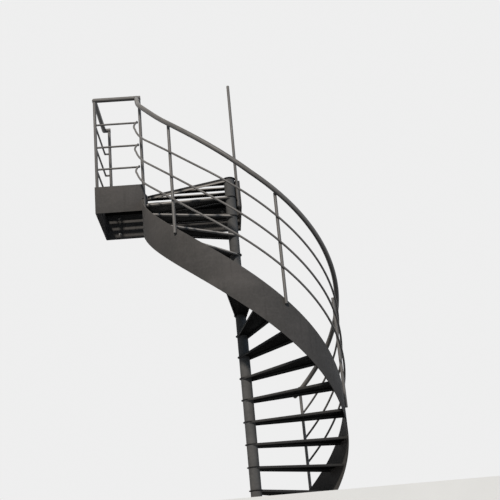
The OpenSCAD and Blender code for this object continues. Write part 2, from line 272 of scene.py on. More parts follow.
@dataclass(frozen=True)
class RailRule:
    """Rule of a bar that climbs with the stair and rises more steeply near the landing.

    Attributes:
        reach: radius of the bar's centre line.
        height: height of the centre line over the nosing line.
        top: height at which the bar meets the guard.
        end_reach: distance of its upper end from the column, along the guard's front.
        start: angle of its upper end.
        climb: angle at which the steeper climb begins.
        power: shape of the steeper climb, 1 for straight and 2 for curved.
        curl: degrees over which the upper end curls inwards, 0 for a straight end.
        end: angle of its lower end.
        lean: distance by which the straight end nears the column for each degree.
        blend: width of the rounding between the straight end and the circle.
        bulge: distance by which the curl swings out past the circle.
        hump: most by which the bar rises above its even climb, near the landing.
        hump_span: angle from the upper end over which that rise lasts.
    """

    reach: float
    height: float
    top: float
    end_reach: float
    start: float
    climb: float
    power: float
    curl: float
    end: float
    lean: float = 0.0
    blend: float = 0.0
    bulge: float = 0.0
    hump: float = 0.0
    hump_span: float = 60.0

    def point(self, angle: float) -> Vector:
        """Point of the centre line.

        Args:
            angle: the point's angle round the column.

        Returns:
            The point in the part's frame.
        """
        s = SIZES
        share = max(0.0, (self.climb - angle) / (self.climb - self.start)) ** self.power
        z = s.line(angle) + self.height + (self.top - s.line(self.start) - self.height) * share
        along = min(1.0, max(0.0, (angle - self.start) / self.hump_span))
        z += SQUARE_TO_ONE * self.hump * (along * (1 - along)) ** 2
        reach = self.reach
        if self.curl > 0:
            bend = max(0.0, (self.start + self.curl - angle) / self.curl)
            start_reach = -self.end_reach / math.cos(math.radians(self.start))
            reach -= (self.reach - start_reach) * bend ** 2
            reach += ARCH_TO_ONE * self.bulge * bend * (1 - bend)
        elif angle < STRAIGHT_LIMIT:
            end_reach = self.end_reach - self.lean * (angle - self.start)
            straight = -end_reach / math.cos(math.radians(angle))
            near = max(0.0, self.blend - abs(reach - straight)) / max(self.blend, 1e-6)
            reach = min(reach, straight) - near ** 3 * self.blend / 6
        return polar(reach, angle, z)


def polar(reach: float, angle: float, z: float) -> Vector:
    """Point at a radius and an angle in degrees round the column."""
    turn = math.radians(angle)
    return Vector((reach * math.cos(turn), reach * math.sin(turn), z))


def handrail_rule(s: StairSizes = SIZES) -> RailRule:
    """Rule of the handrail.

    Args:
        s: the stair's sizes.

    Returns:
        The rule.
    """
    return RailRule(
        reach=s.baluster_reach + s.baluster / 2 + s.handrail / 2,
        height=s.handrail_height,
        top=s.floor + s.guard,
        end_reach=s.handrail_end,
        start=180 + math.degrees(math.atan(-s.guard_y / s.handrail_end)),
        climb=s.top_angle + 117,
        power=1.0,
        curl=0.0,
        end=s.foot_angle + 4,
        lean=0.0011,
        blend=0.05,
        hump=0.024,
        hump_span=50.0,
    )


def mid_rail_rule(index: int, s: StairSizes = SIZES) -> RailRule:
    """Rule of a mid rail.

    Args:
        index: its number, counted from the top one.
        s: the stair's sizes.

    Returns:
        The rule.
    """
    return RailRule(
        reach=s.baluster_reach + s.baluster / 2 + s.rail / 2,
        height=s.rail_heights[index],
        top=s.floor + s.guard_heights[index],
        end_reach=s.rail_end,
        start=180 + math.degrees(math.atan((s.rail - s.guard_y) / s.rail_end)),
        climb=s.top_angle + 49,
        power=2.0,
        curl=9.0,
        end=s.foot_angle,
        bulge=0.009,
        hump=0.018,
        hump_span=70.0,
    )


# Node trees


class NodeGraph:
    """A node tree under construction, whose nodes take values or other nodes' outputs."""

    def __init__(self, tree: bpy.types.NodeTree) -> None:
        """Starts from a tree, empty or not."""
        self.tree = tree

    def put(self, target: Socket, value: Value) -> None:
        """Links an output to a socket, or writes a plain value into it.

        Args:
            target: the socket.
            value: the output or the plain value.
        """
        if isinstance(value, bpy.types.NodeSocket):
            self.tree.links.new(value, target)
        else:
            target.default_value = value

    def add(self, kind: str, inputs: dict[Union[int, str], Value] | None = None,
            **settings: object) -> bpy.types.Node:
        """Adds a node.

        Args:
            kind: the node's type name.
            inputs: values or outputs by input name or number.
            **settings: the node's own properties, set before its inputs.

        Returns:
            The new node.
        """
        node = self.tree.nodes.new(kind)
        for name, value in settings.items():
            setattr(node, name, value)
        for key, value in (inputs or {}).items():
            self.put(node.inputs[key], value)
        return node

    def read(self, kind: str, output: Union[int, str] = 0) -> Socket:
        """Output of a new node that takes no inputs."""
        return self.add(kind).outputs[output]

    def math(self, operation: str, *values: Value, clamp: bool = False) -> Socket:
        """Result of a math node."""
        inputs = dict(enumerate(values))
        return self.add("ShaderNodeMath", inputs, operation=operation, use_clamp=clamp).outputs[0]

    def plus(self, *values: Value) -> Socket:
        """Sum of its values, from left to right."""
        return reduce(partial(self.math, "ADD"), values)

    def times(self, *values: Value) -> Socket:
        """Product of its values, from left to right."""
        return reduce(partial(self.math, "MULTIPLY"), values)

    def minus(self, a: Value, b: Value) -> Socket:
        """Difference of two values."""
        return self.math("SUBTRACT", a, b)

    def over(self, a: Value, b: Value) -> Socket:
        """Quotient of two values."""
        return self.math("DIVIDE", a, b)

    def inverse(self, share: Value) -> Socket:
        """What a share leaves of one."""
        return self.minus(1.0, share)

    def vector(self, operation: str, *values: Value) -> Socket:
        """Result of a vector math node, a number for a length and else a vector."""
        node = self.add("ShaderNodeVectorMath", dict(enumerate(values)), operation=operation)
        return node.outputs["Value" if operation == "LENGTH" else "Vector"]

    def combine(self, x: Value, y: Value, z: Value) -> Socket:
        """A vector out of three numbers."""
        return self.add("ShaderNodeCombineXYZ", {0: x, 1: y, 2: z}).outputs[0]

    def axes(self, vector: Socket) -> Sequence[Socket]:
        """The three numbers of a vector."""
        return self.add("ShaderNodeSeparateXYZ", {0: vector}).outputs[:]

    def ramp(self, value: Value, low: float, high: float) -> Socket:
        """Smooth step of a value from 0 at low to 1 at high."""
        return self.add("ShaderNodeMapRange", {0: value, 1: low, 2: high, 3: 0.0, 4: 1.0},
                        interpolation_type="SMOOTHSTEP").outputs[0]

    def mix(self, share: Value, a: Value, b: Value) -> Socket:
        """Mix of two colours."""
        return self.add("ShaderNodeMix", {0: share, 6: a, 7: b}, data_type="RGBA").outputs[2]


class GeometryTree(NodeGraph):
    """A Geometry Nodes tree with named inputs, which ends in real, finished faces."""

    def __init__(self, name: str) -> None:
        """Makes the tree with its geometry input and output.

        Args:
            name: the tree's name.
        """
        super().__init__(bpy.data.node_groups.new(name, "GeometryNodeTree"))
        face = self.tree.interface
        face.new_socket(name="Geometry", in_out="INPUT", socket_type="NodeSocketGeometry")
        face.new_socket(name="Geometry", in_out="OUTPUT", socket_type="NodeSocketGeometry")
        self.source = self.tree.nodes.new("NodeGroupInput")
        self.keys: dict[str, str] = {}

    @property
    def base(self) -> Socket:
        """The geometry that the tree starts from."""
        return self.source.outputs["Geometry"]

    def size(self, name: str, default: float = 0.0, kind: str = "NodeSocketFloat") -> Socket:
        """Adds a named input to the tree.

        Args:
            name: the input's name.
            default: its value when none is given, for a number.
            kind: type of the input's socket.

        Returns:
            The input's output inside the tree.
        """
        item = self.tree.interface.new_socket(name=name, in_out="INPUT", socket_type=kind)
        if kind in ("NodeSocketFloat", "NodeSocketInt"):
            item.default_value = default
        self.keys[name] = item.identifier
        return self.source.outputs[name]

    def sizes(self, *names: str) -> list[Socket]:
        """Adds several inputs for numbers."""
        return [self.size(name) for name in names]

    def count(self, name: str, default: int) -> Socket:
        """Adds an input for a whole number."""
        return self.size(name, default, "NodeSocketInt")

    def named(self, name: str) -> Socket:
        """Reads a float attribute of the geometry."""
        return self.add("GeometryNodeInputNamedAttribute", {"Name": name},
                        data_type="FLOAT").outputs[0]

    def join(self, *parts: Socket) -> Socket:
        """Joins several geometries.

        Args:
            *parts: the geometries.

        Returns:
            The joined geometry.
        """
        node = self.tree.nodes.new("GeometryNodeJoinGeometry")
        for part in parts:
            self.tree.links.new(part, node.inputs[0])
        return node.outputs[0]

    def above(self, value: Value, limit: Value) -> Socket:
        """Selection of the points whose value lies above a limit."""
        return self.add("FunctionNodeCompare", {0: value, 1: limit}, data_type="FLOAT",
                        operation="GREATER_THAN").outputs[0]

    def random(self, low: float, high: float, seed: Socket) -> Socket:
        """A number drawn for each point."""
        return self.add("FunctionNodeRandomValue", {2: low, 3: high, 8: seed},
                        data_type="FLOAT").outputs[1]

    def about_z(self, turn: Value) -> Socket:
        """Rotation about the z axis, by an angle in radians."""
        return self.add("FunctionNodeEulerToRotation",
                        {0: self.combine(0.0, 0.0, turn)}).outputs[0]

    def curve(self, mesh: Socket) -> Socket:
        """A mesh's edges as a curve."""
        return self.add("GeometryNodeMeshToCurve", {0: mesh}).outputs[0]

    def tube(self, curve: Socket, sides: Socket, radius: Value, scale: Value = 1.0) -> Socket:
        """Round bar with flat ends.

        Args:
            curve: the bar's centre line.
            sides: number of its sides.
            radius: radius of its section.
            scale: factor on that radius, which may differ from point to point.

        Returns:
            The bar's faces.
        """
        circle = self.add("GeometryNodeCurvePrimitiveCircle",
                          {"Resolution": sides, "Radius": radius}).outputs[0]
        return self.add("GeometryNodeCurveToMesh", {
            "Curve": curve, "Profile Curve": circle, "Scale": scale, "Fill Caps": True}).outputs[0]

    def ball(self, segments: Value, rings: Value, radius: Value = 1.0) -> Socket:
        """A ball with its segments and rings."""
        return self.add("GeometryNodeMeshUVSphere", {
            "Segments": segments, "Rings": rings, "Radius": radius}).outputs[0]

    def copies(self, points: Socket, shape: Socket, **inputs: Value) -> Socket:
        """Copies of a shape on points, with the node's other inputs by name."""
        return self.add("GeometryNodeInstanceOnPoints",
                        {"Points": points, "Instance": shape, **inputs}).outputs[0]

    def real(self, geometry: Socket) -> Socket:
        """Copies made real."""
        return self.add("GeometryNodeRealizeInstances", {0: geometry}).outputs[0]

    def shaded(self, geometry: Socket) -> Socket:
        """Geometry that is shaded smoothly."""
        return self.add("GeometryNodeSetShadeSmooth", {0: geometry}).outputs[0]

    def close(self, geometry: Socket) -> "GeometryTree":
        """Ends the tree with realized instances and the material input.

        Args:
            geometry: the tree's last geometry.

        Returns:
            The tree itself.
        """
        material = self.size("Finish", kind="NodeSocketMaterial")
        done = self.add("GeometryNodeSetMaterial",
                        {"Geometry": self.real(geometry), "Material": material})
        target = self.tree.nodes.new("NodeGroupOutput")
        self.tree.links.new(done.outputs[0], target.inputs[0])
        return self

    def grow(self, base: bpy.types.Mesh, **values: Value) -> bpy.types.Mesh:
        """Runs the tree on a mesh.

        Args:
            base: mesh that the tree starts from.
            **values: the tree's inputs, with underscores for the spaces in their names.

        Returns:
            The evaluated result as a plain mesh.
        """
        holder = linked("holder", base)
        modifier = holder.modifiers.new("Tree", "NODES")
        modifier.node_group = self.tree
        for name, value in values.items():
            modifier[self.keys[name.replace("_", " ")]] = value
        return baked(holder)


def linked(name: str, data: bpy.types.ID) -> bpy.types.Object:
    """Adds an object to the scene.

    Args:
        name: the object's name.
        data: its mesh, camera or lamp.

    Returns:
        The object.
    """
    item = bpy.data.objects.new(name, data)
    bpy.context.scene.collection.objects.link(item)
    return item


def baked(holder: bpy.types.Object) -> bpy.types.Mesh:
    """Evaluates an object with its modifiers into a plain mesh and removes the object.

    Args:
        holder: the object, whose own mesh is removed too when nothing else uses it.

    Returns:
        The plain mesh.
    """
    graph = bpy.context.evaluated_depsgraph_get()
    graph.update()
    result = bpy.data.meshes.new_from_object(
        holder.evaluated_get(graph), preserve_all_data_layers=True, depsgraph=graph)
    base = holder.data
    bpy.data.objects.remove(holder)
    if base.users == 0:
        bpy.data.meshes.remove(base)
    return result


def bar_tree() -> GeometryTree:
    """Tree that turns paths into round bars, with a ball on each point marked as a corner.

    Returns:
        A tree whose points carry the attributes thick, the bar's radius, and ball, 1 at a corner.
    """
    tree = GeometryTree("round_bars")
    sides = tree.count("Sides", 32)
    thick = tree.named("thick")
    bars = tree.tube(tree.curve(tree.base), sides, 1.0, thick)
    ball = tree.ball(sides, tree.times(sides, 0.5))
    corners = tree.above(tree.named("ball"), 0.5)
    balls = tree.copies(tree.base, ball, Selection=corners, Scale=thick)
    return tree.close(tree.shaded(tree.join(bars, balls)))


def climbing_rail_tree() -> GeometryTree:
    """Tree of a rail that follows the stair's helix by its rule, with a domed lower end.

    Returns:
        A tree that takes the fields of RailRule and the stair's slope as named inputs.
    """
    tree = GeometryTree("climbing_rail")
    reach, height, top, end_reach, start, climb = tree.sizes(
        "Reach", "Height", "Top", "End Reach", "Start", "Climb")
    power, curl, end, lean, blend, bulge, hump = tree.sizes(
        "Power", "Curl", "End", "Lean", "Blend", "Bulge", "Hump")
    span = tree.size("Hump Span", 60.0)
    floor, slope, top_angle, thick = tree.sizes("Floor", "Slope", "Top Angle", "Thick")
    root = tree.size("Root", kind="NodeSocketVector")
    count, sides = tree.count("Count", 200), tree.count("Sides", 32)
    line = tree.add("GeometryNodeMeshLine", {"Count": count}, mode="OFFSET").outputs[0]
    index = tree.read("GeometryNodeInputIndex")
    share = tree.math("DIVIDE", tree.minus(index, 1.0), tree.minus(count, 2.0), clamp=True)
    angle = tree.math("MULTIPLY_ADD", share, tree.minus(end, start), start)
    radians = tree.math("RADIANS", angle)

    def nosing(at: Socket) -> Socket:
        """Height of the nosing line at an angle."""
        return tree.minus(floor, tree.times(slope, tree.minus(at, top_angle)))

    def to_plane(distance: Socket, turn: Socket) -> Socket:
        """Radius at which a bar lies a distance to the landing's side of the column."""
        return tree.times(tree.over(distance, tree.math("COSINE", turn)), -1.0)

    steep = tree.over(tree.minus(climb, angle), tree.minus(climb, start))
    steep = tree.math("POWER", tree.math("MAXIMUM", steep, 0.0), power)
    lift = tree.minus(tree.minus(top, nosing(start)), height)
    z = tree.math("MULTIPLY_ADD", lift, steep, tree.plus(nosing(angle), height))
    along = tree.math("DIVIDE", tree.minus(angle, start), span, clamp=True)
    arch = tree.times(along, tree.inverse(along))
    z = tree.plus(z, tree.times(hump, SQUARE_TO_ONE, tree.math("POWER", arch, 2.0)))
    near_reach = tree.minus(end_reach, tree.times(lean, tree.minus(angle, start)))
    low = tree.math("GREATER_THAN", angle, STRAIGHT_LIMIT)
    straight = tree.plus(to_plane(near_reach, radians), tree.times(low, OUT_OF_REACH))
    straight = tree.math("SMOOTH_MIN", reach, straight, blend)
    start_reach = to_plane(end_reach, tree.math("RADIANS", start))
    least, smallest_curl = 0.001, 0.01
    bend = tree.over(tree.minus(tree.plus(start, curl), angle), tree.math("MAXIMUM", curl, least))
    bend = tree.math("MAXIMUM", bend, 0.0)
    inward = tree.times(tree.minus(reach, start_reach), tree.math("POWER", bend, 2.0))
    swing = tree.times(tree.times(bulge, ARCH_TO_ONE), tree.times(bend, tree.inverse(bend)))
    curled = tree.plus(tree.minus(reach, inward), swing)
    has_curl = tree.math("GREATER_THAN", curl, smallest_curl)
    far = tree.add("ShaderNodeMix", {0: has_curl, 2: straight, 3: curled}).outputs[0]
    place = tree.combine(tree.times(far, tree.math("COSINE", radians)),
                         tree.times(far, tree.math("SINE", radians)), z)
    first = tree.math("LESS_THAN", index, 0.5)
    place = tree.add("ShaderNodeMix", {0: first, 4: place, 5: root}, data_type="VECTOR").outputs[1]
    placed = tree.add("GeometryNodeSetPosition", {"Geometry": line, "Position": place}).outputs[0]
    bar = tree.tube(tree.curve(placed), sides, thick)
    last = tree.above(index, tree.minus(count, 1.5))
    ball = tree.ball(sides, tree.times(sides, 0.5), thick)
    dome = tree.copies(placed, ball, Selection=last)
    return tree.close(tree.shaded(tree.join(bar, dome)))


def bead_tree() -> GeometryTree:
    """Tree that lays weld ripples along paths.

    Returns:
        A tree whose points carry the attribute bead, the half width of the weld.
    """
    tree = GeometryTree("weld_beads")
    pitch, seed = tree.size("Pitch", 0.004), tree.count("Seed", 3)
    dots = tree.add("GeometryNodeResampleCurve", {"Curve": tree.curve(tree.base), "Length": pitch},
                    mode="LENGTH").outputs[0]
    along = tree.add("FunctionNodeAlignRotationToVector",
                     {"Vector": tree.read("GeometryNodeInputTangent")}, axis="X").outputs[0]
    narrowest, widest, overlap = 0.82, 1.12, 0.95
    wide = tree.times(tree.named("bead"), tree.random(narrowest, widest, seed))
    scale = tree.combine(tree.times(pitch, overlap), wide, wide)
    beads = tree.copies(dots, tree.ball(7, 4), Rotation=along, Scale=scale)
    return tree.close(tree.shaded(tree.real(beads)))


def tear_tree() -> GeometryTree:
    """Tree of the raised tears on the treads, laid on a lattice and kept inside each tread.

    Returns:
        A tree with inputs for the lattice pitch, the tear's size, the tread's outline and steps.
    """
    rim = 0.02
    tree = GeometryTree("tread_tears")
    pitch = tree.size("Pitch", 0.026)
    long, wide, high = tree.sizes("Long", "Wide", "High")
    margin = tree.size("Margin", 0.01)
    offset, outer, inner, sweep, step, riser, first = tree.sizes(
        "Offset", "Outer", "Inner", "Sweep", "Step", "Riser", "First Angle")
    steps = tree.count("Steps", 15)
    cells = tree.math("FLOOR", tree.over(tree.times(outer, 2.0), pitch))
    spread = tree.times(tree.minus(cells, 1.0), pitch)
    grid = tree.add("GeometryNodeMeshGrid", {
        "Size X": spread, "Size Y": spread, "Vertices X": cells, "Vertices Y": cells}).outputs[0]
    spot = tree.read("GeometryNodeInputPosition")
    x, y, _ = tree.axes(spot)
    limit = tree.minus(offset, margin)
    lean = tree.math("ARCCOSINE", tree.over(offset, outer))
    back = tree.plus(tree.math("RADIANS", sweep), lean)

    def past(turn: Socket, sign: float) -> Socket:
        """Tells the points past a tread's front or back edge.

        Args:
            turn: angle of the edge's normal in radians.
            sign: 1 for the front edge, -1 for the back edge, whose angle is given mirrored.

        Returns:
            1 where a point lies past the edge, and else 0.
        """
        reach = tree.plus(tree.times(x, tree.math("COSINE", turn)),
                          tree.times(y, tree.math("SINE", turn), sign))
        return tree.math("GREATER_THAN", reach, limit)

    far = tree.vector("LENGTH", spot)
    out = tree.plus(past(lean, 1.0), past(back, -1.0),
                    tree.math("GREATER_THAN", far, tree.minus(outer, rim)),
                    tree.math("LESS_THAN", far, inner), tree.math("LESS_THAN", x, 0.0))
    kept = tree.add("GeometryNodeDeleteGeometry",
                    {"Geometry": grid, "Selection": tree.above(out, 0.5)},
                    mode="ALL", domain="POINT").outputs[0]
    even = tree.math("ROUND", tree.plus(tree.over(x, pitch), tree.over(y, pitch)))
    turn = tree.math("MULTIPLY_ADD", tree.math("PINGPONG", even, 1.0),
                     math.radians(90), math.radians(-45))
    tears = tree.copies(kept, tree.ball(8, 4), Rotation=tree.about_z(turn),
                        Scale=tree.combine(long, wide, high))
    climb = tree.combine(0.0, 0.0, riser)
    flight = tree.add("GeometryNodeMeshLine", {
        "Count": steps, "Start Location": climb, "Offset": climb}, mode="OFFSET").outputs[0]
    number = tree.read("GeometryNodeInputIndex")
    yaw = tree.math("RADIANS", tree.minus(first, tree.times(number, step)))
    treads = tree.copies(flight, tears, Rotation=tree.about_z(yaw))
    return tree.close(tree.shaded(tree.real(treads)))


def bolt_tree() -> GeometryTree:
    """Tree that sets a washer, a hexagon nut and a stud on each point of a mesh.

    Returns:
        A tree with inputs for the thread diameter, the turn of the bolts and a seed.
    """
    tree = GeometryTree("bolts")
    size, seed = tree.size("Thread", 0.012), tree.count("Seed", 5)
    turn = tree.size("Turn", kind="NodeSocketVector")

    def disc(sides: int, radius: float, low: float, high: float, top: float = 1.0) -> Socket:
        """A disc or prism, measured in thread diameters.

        Args:
            sides: number of its sides.
            radius: radius of its lower end.
            low: height of its lower end.
            high: height of its upper end.
            top: radius of its upper end against the lower one.

        Returns:
            The disc's faces.
        """
        shape = tree.add("GeometryNodeMeshCone", {
            "Vertices": sides, "Radius Bottom": tree.times(size, radius),
            "Radius Top": tree.times(size, radius * top),
            "Depth": tree.times(size, high - low)}).outputs[0]
        lift = tree.combine(0.0, 0.0, tree.times(size, low))
        return tree.add("GeometryNodeTransform",
                        {"Geometry": shape, "Translation": lift}).outputs[0]

    washer = disc(24, 1.15, 0.0, 0.18)
    nut = (disc(6, 0.95, 0.18, 0.78), disc(6, 0.95, 0.78, 0.9, 0.86))
    stud = (disc(14, 0.48, 0.9, 1.25), disc(14, 0.48, 1.25, 1.35, 0.75))
    sixth_turn = 1.04
    own = tree.about_z(tree.random(0.0, sixth_turn, seed))
    rest = tree.add("FunctionNodeEulerToRotation", {0: turn}).outputs[0]
    both = tree.add("FunctionNodeRotateRotation", {0: rest, 1: own}, rotation_space="LOCAL")
    return tree.close(tree.copies(tree.base, tree.join(washer, *nut, *stud),
                                  Rotation=both.outputs[0]))


# Meshes


@dataclass
class PathBook:
    """Open and closed paths with a number on each point, kept for one node tree.

    Attributes:
        numbers: names of the attributes that each point carries.
    """

    numbers: tuple[str, ...]
    points: list[Vector] = field(default_factory=list)
    edges: list[tuple[int, int]] = field(default_factory=list)
    values: list[tuple[float, ...]] = field(default_factory=list)

    def add(self, path: Iterable[Vector], *values: float, loop: bool = False) -> None:
        """Adds a path.

        Args:
            path: its points.
            *values: numbers that all its points carry.
            loop: True joins its last point to its first.
        """
        start = len(self.points)
        self.points.extend(path)
        count = len(self.points) - start
        self.values.extend([values] * count)
        self.edges.extend((start + i, start + i + 1) for i in range(count - 1))
        if loop:
            self.edges.append((start + count - 1, start))

    def mesh(self, name: str) -> bpy.types.Mesh:
        """The paths as a mesh of edges.

        Args:
            name: the mesh's name.

        Returns:
            The mesh, with the numbers as attributes of its points.
        """
        mesh = bpy.data.meshes.new(name)
        mesh.from_pydata([tuple(p) for p in self.points], self.edges, [])
        for index, number in enumerate(self.numbers):
            layer = mesh.attributes.new(number, "FLOAT", "POINT")
            layer.data.foreach_set("value", [row[index] for row in self.values])
        return mesh


def skin(name: str, rings: Sequence[Path], closed: bool = False) -> bpy.types.Mesh:
    """Joins rings of equal length into a closed mesh.

    Args:
        name: name of the mesh.
        rings: the rings in order along the piece.
        closed: True joins the last ring to the first, False closes the ends with faces.

    Returns:
        The mesh, smooth, with its normals outwards.
    """
    work = bmesh.new()
    loops = [[work.verts.new(p) for p in ring] for ring in rings]
    count = len(rings[0])
    pairs = list(zip(loops, loops[1:])) + ([(loops[-1], loops[0])] if closed else [])
    for a, b in pairs:
        for i in range(count):
            j = (i + 1) % count
            work.faces.new((a[i], a[j], b[j], b[i]))
    if not closed:
        work.faces.new(list(reversed(loops[0])))
        work.faces.new(loops[-1])
    bmesh.ops.recalc_face_normals(work, faces=work.faces)
    mesh = bpy.data.meshes.new(name)
    work.to_mesh(mesh)
    work.free()
    smooth(mesh)
    return mesh


def smooth(mesh: bpy.types.Mesh, sharp: float = 38.0) -> None:
    """Shades a mesh smoothly, with edges over an angle in degrees kept sharp."""
    mesh.shade_smooth()
    mesh.set_sharp_from_angle(angle=math.radians(sharp))


# Edges that turn more than this are rounded, and none more widely than this
SHARP_EDGE = math.radians(32)
WIDEST_EDGE = 0.004


def bevelled(mesh: bpy.types.Mesh, wide: float, limit: str) -> bpy.types.Mesh:
    """Rounds a mesh's edges.

    Args:
        mesh: the mesh, which is used up.
        wide: width of the rounding.
        limit: ANGLE rounds every sharp edge, WEIGHT each edge by its own weight.

    Returns:
        The rounded mesh, smooth.
    """
    holder = linked("holder", mesh)
    bevel = holder.modifiers.new("Edges", "BEVEL")
    bevel.limit_method = limit
    bevel.angle_limit = SHARP_EDGE
    bevel.width = wide
    bevel.segments = 2
    result = baked(holder)
    smooth(result, 30.0)
    return result


def softened(node: str, wide: float = 0.001,
             extra: Callable[[bmesh.types.BMEdge], float] | None = None) -> bpy.types.Mesh:
    """Copy of a CAD node's mesh with its edges rounded.

    Args:
        node: name of the CAD node.
        wide: width of the rounding.
        extra: gives the width of an edge that differs, or 0 for the usual one.

    Returns:
        The rounded mesh.
    """
    touching, flat = 2e-5, math.radians(0.6)
    work = bmesh.new()
    work.from_mesh(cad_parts[node].data)
    bmesh.ops.remove_doubles(work, verts=work.verts, dist=touching)
    bmesh.ops.dissolve_limit(work, angle_limit=flat, verts=work.verts, edges=work.edges)
    weight = work.edges.layers.float.new("bevel_weight_edge")
    for edge in work.edges:
        if len(edge.link_faces) == 2 and edge.calc_face_angle(0.0) > SHARP_EDGE:
            own = extra(edge) if extra else 0.0
            edge[weight] = (own or wide) / WIDEST_EDGE
    mesh = bpy.data.meshes.new(f"{node}_soft")
    work.to_mesh(mesh)
    work.free()
    return bevelled(mesh, WIDEST_EDGE, "WEIGHT")


def place(name: str, mesh: bpy.types.Mesh, finish: bpy.types.Material, slot: Slot,
          *nodes: str) -> None:
    """Puts a finished piece into the scene.

    Args:
        name: the piece's name.
        mesh: its mesh, in the part's frame.
        finish: its material.
        slot: not used.
        *nodes: the CAD nodes that the piece stands for.
    """
    mesh.materials.clear()
    mesh.materials.append(finish)
    piece = linked(name, mesh)
    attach(piece, BODY)
    if nodes:
        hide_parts(*nodes)
    LOG.info("%s: %d faces", name, len(mesh.polygons))


# Finishes


@dataclass(frozen=True)
class Noise:
    """A noise pattern on a piece's own coordinates.

    Attributes:
        scale: its waves for each metre.
        detail: number of finer waves laid over it.
        rough: strength of the finer waves.
        stretch: waves for each metre along x, y and z, where these differ.
        span: values of the noise at which its share is 0 and 1.
    """

    scale: float = 1.0
    detail: float = 3.0
    rough: float = 0.55
    stretch: tuple[float, float, float] | None = None
    span: tuple[float, float] = (0.0, 1.0)


PATCHES = Noise(detail=5.0, rough=0.62, span=(0.40, 0.66))
MOTTLE = Noise(46.0, 2.0, span=(0.35, 0.75))
RUNS = Noise(rough=0.6, stretch=(38.0, 38.0, 1.7), span=(0.52, 0.72))
MARKS = Noise(detail=4.0, rough=0.6, stretch=(3.0, 3.0, 9.0), span=(0.48, 0.80))
BRUSHING = Noise(detail=2.0, rough=0.5, stretch=(260.0, 260.0, 40.0))
SETTLING = Noise(11.0, span=(0.25, 0.75))
SPECKS = Noise(150.0, 2.0, 0.5, span=(0.66, 0.74))
CLUSTERS = Noise(7.0, span=(0.68, 0.82))

DUST = (0.30, 0.27, 0.23, 1.0)
RUST = (0.105, 0.040, 0.018, 1.0)
# Colour of the painted highlight along the steps' nosings, that of bare, worn steel
WORN_STEEL_HIGHLIGHT = (0.38, 0.355, 0.33, 1.0)

# Brightness of the runs and of the painted shade on the steps' fronts against the paint, and of worn
# spots and hand marks against faded paint
RUNS_AND_LIP_SHADE = 0.62
WORN_SHADE = 1.35
MARK_SHADE = 2.1

# Shares of the worn spots, of the painted shade on the steps' fronts and of the dust where it lies
# thinnest
WORN_SHARE = 0.22
LIP_SHADE_SHARE = 0.6
LEAST_DUST = 0.45

# How far the rust clusters widen for a finish that is all rusty
RUST_SPREAD = 0.2

# Roughness of dust and rust, and what the mottle adds to the paint's own
DIRT_ROUGHNESS = 0.9
MOTTLE_ROUGHNESS = 0.10

# Heights of the mottle and of the rust against the brush marks
MOTTLE_HEIGHT = 1.6
RUST_HEIGHT = 1.5

# Values of the normal's z at which the share of each kind of face is 0 and 1
FACES_UP = (0.3, 0.95)
FACES_FLAT = (0.75, 0.95)
OFF_UNDERSIDE = (-0.95, -0.35)

# The same for a step's front, by how far the normal points ahead round the column
FACES_AHEAD = (0.05, 0.35)

# Depths on a step's front are counted from this far above its upper edge
LEAD = 0.004

# Where the painted highlight and the painted shade on a step's front fade in and out below that
# edge, and a sleeve's paint beyond its side
STRIP_STARTS = (-0.006, -0.002)
STRIP_ENDS = (0.009, 0.013)
LIP_SHADE_STARTS = (0.010, 0.016)
SLEEVE_ENDS = (0.001, 0.004)


def shade(colour: Colour, bright: float = 1.0) -> Colour:
    """A colour made brighter or darker, with full cover."""
    return tuple(bright * c for c in colour) + (1.0,)


class PaintGraph(NodeGraph):
    """A material's tree, with the coordinates and the normal that its patterns read."""

    def __init__(self, name: str) -> None:
        """Makes the material with an empty tree.

        Args:
            name: the material's name.
        """
        self.material = bpy.data.materials.new(name)
        self.material.use_nodes = True
        super().__init__(self.material.node_tree)
        self.tree.nodes.clear()
        self.coords = self.read("ShaderNodeTexCoord", "Object")
        self.normal = self.read("ShaderNodeNewGeometry", "Normal")

    def noise(self, noise: Noise) -> Socket:
        """Value of a noise pattern.

        Args:
            noise: the pattern.

        Returns:
            Its grey value.
        """
        at = self.coords
        if noise.stretch:
            at = self.add("ShaderNodeMapping", {"Vector": at, "Scale": noise.stretch}).outputs[0]
        return self.add("ShaderNodeTexNoise", {
            "Vector": at, "Scale": noise.scale, "Detail": noise.detail,
            "Roughness": noise.rough}).outputs[0]

    def share(self, noise: Noise) -> Socket:
        """Share of a noise pattern, from 0 to 1 over its span."""
        return self.ramp(self.noise(noise), *noise.span)

    def below(self, value: Value, low: float, high: float) -> Socket:
        """Smooth step of a value from 1 at low to 0 at high."""
        return self.inverse(self.ramp(value, low, high))


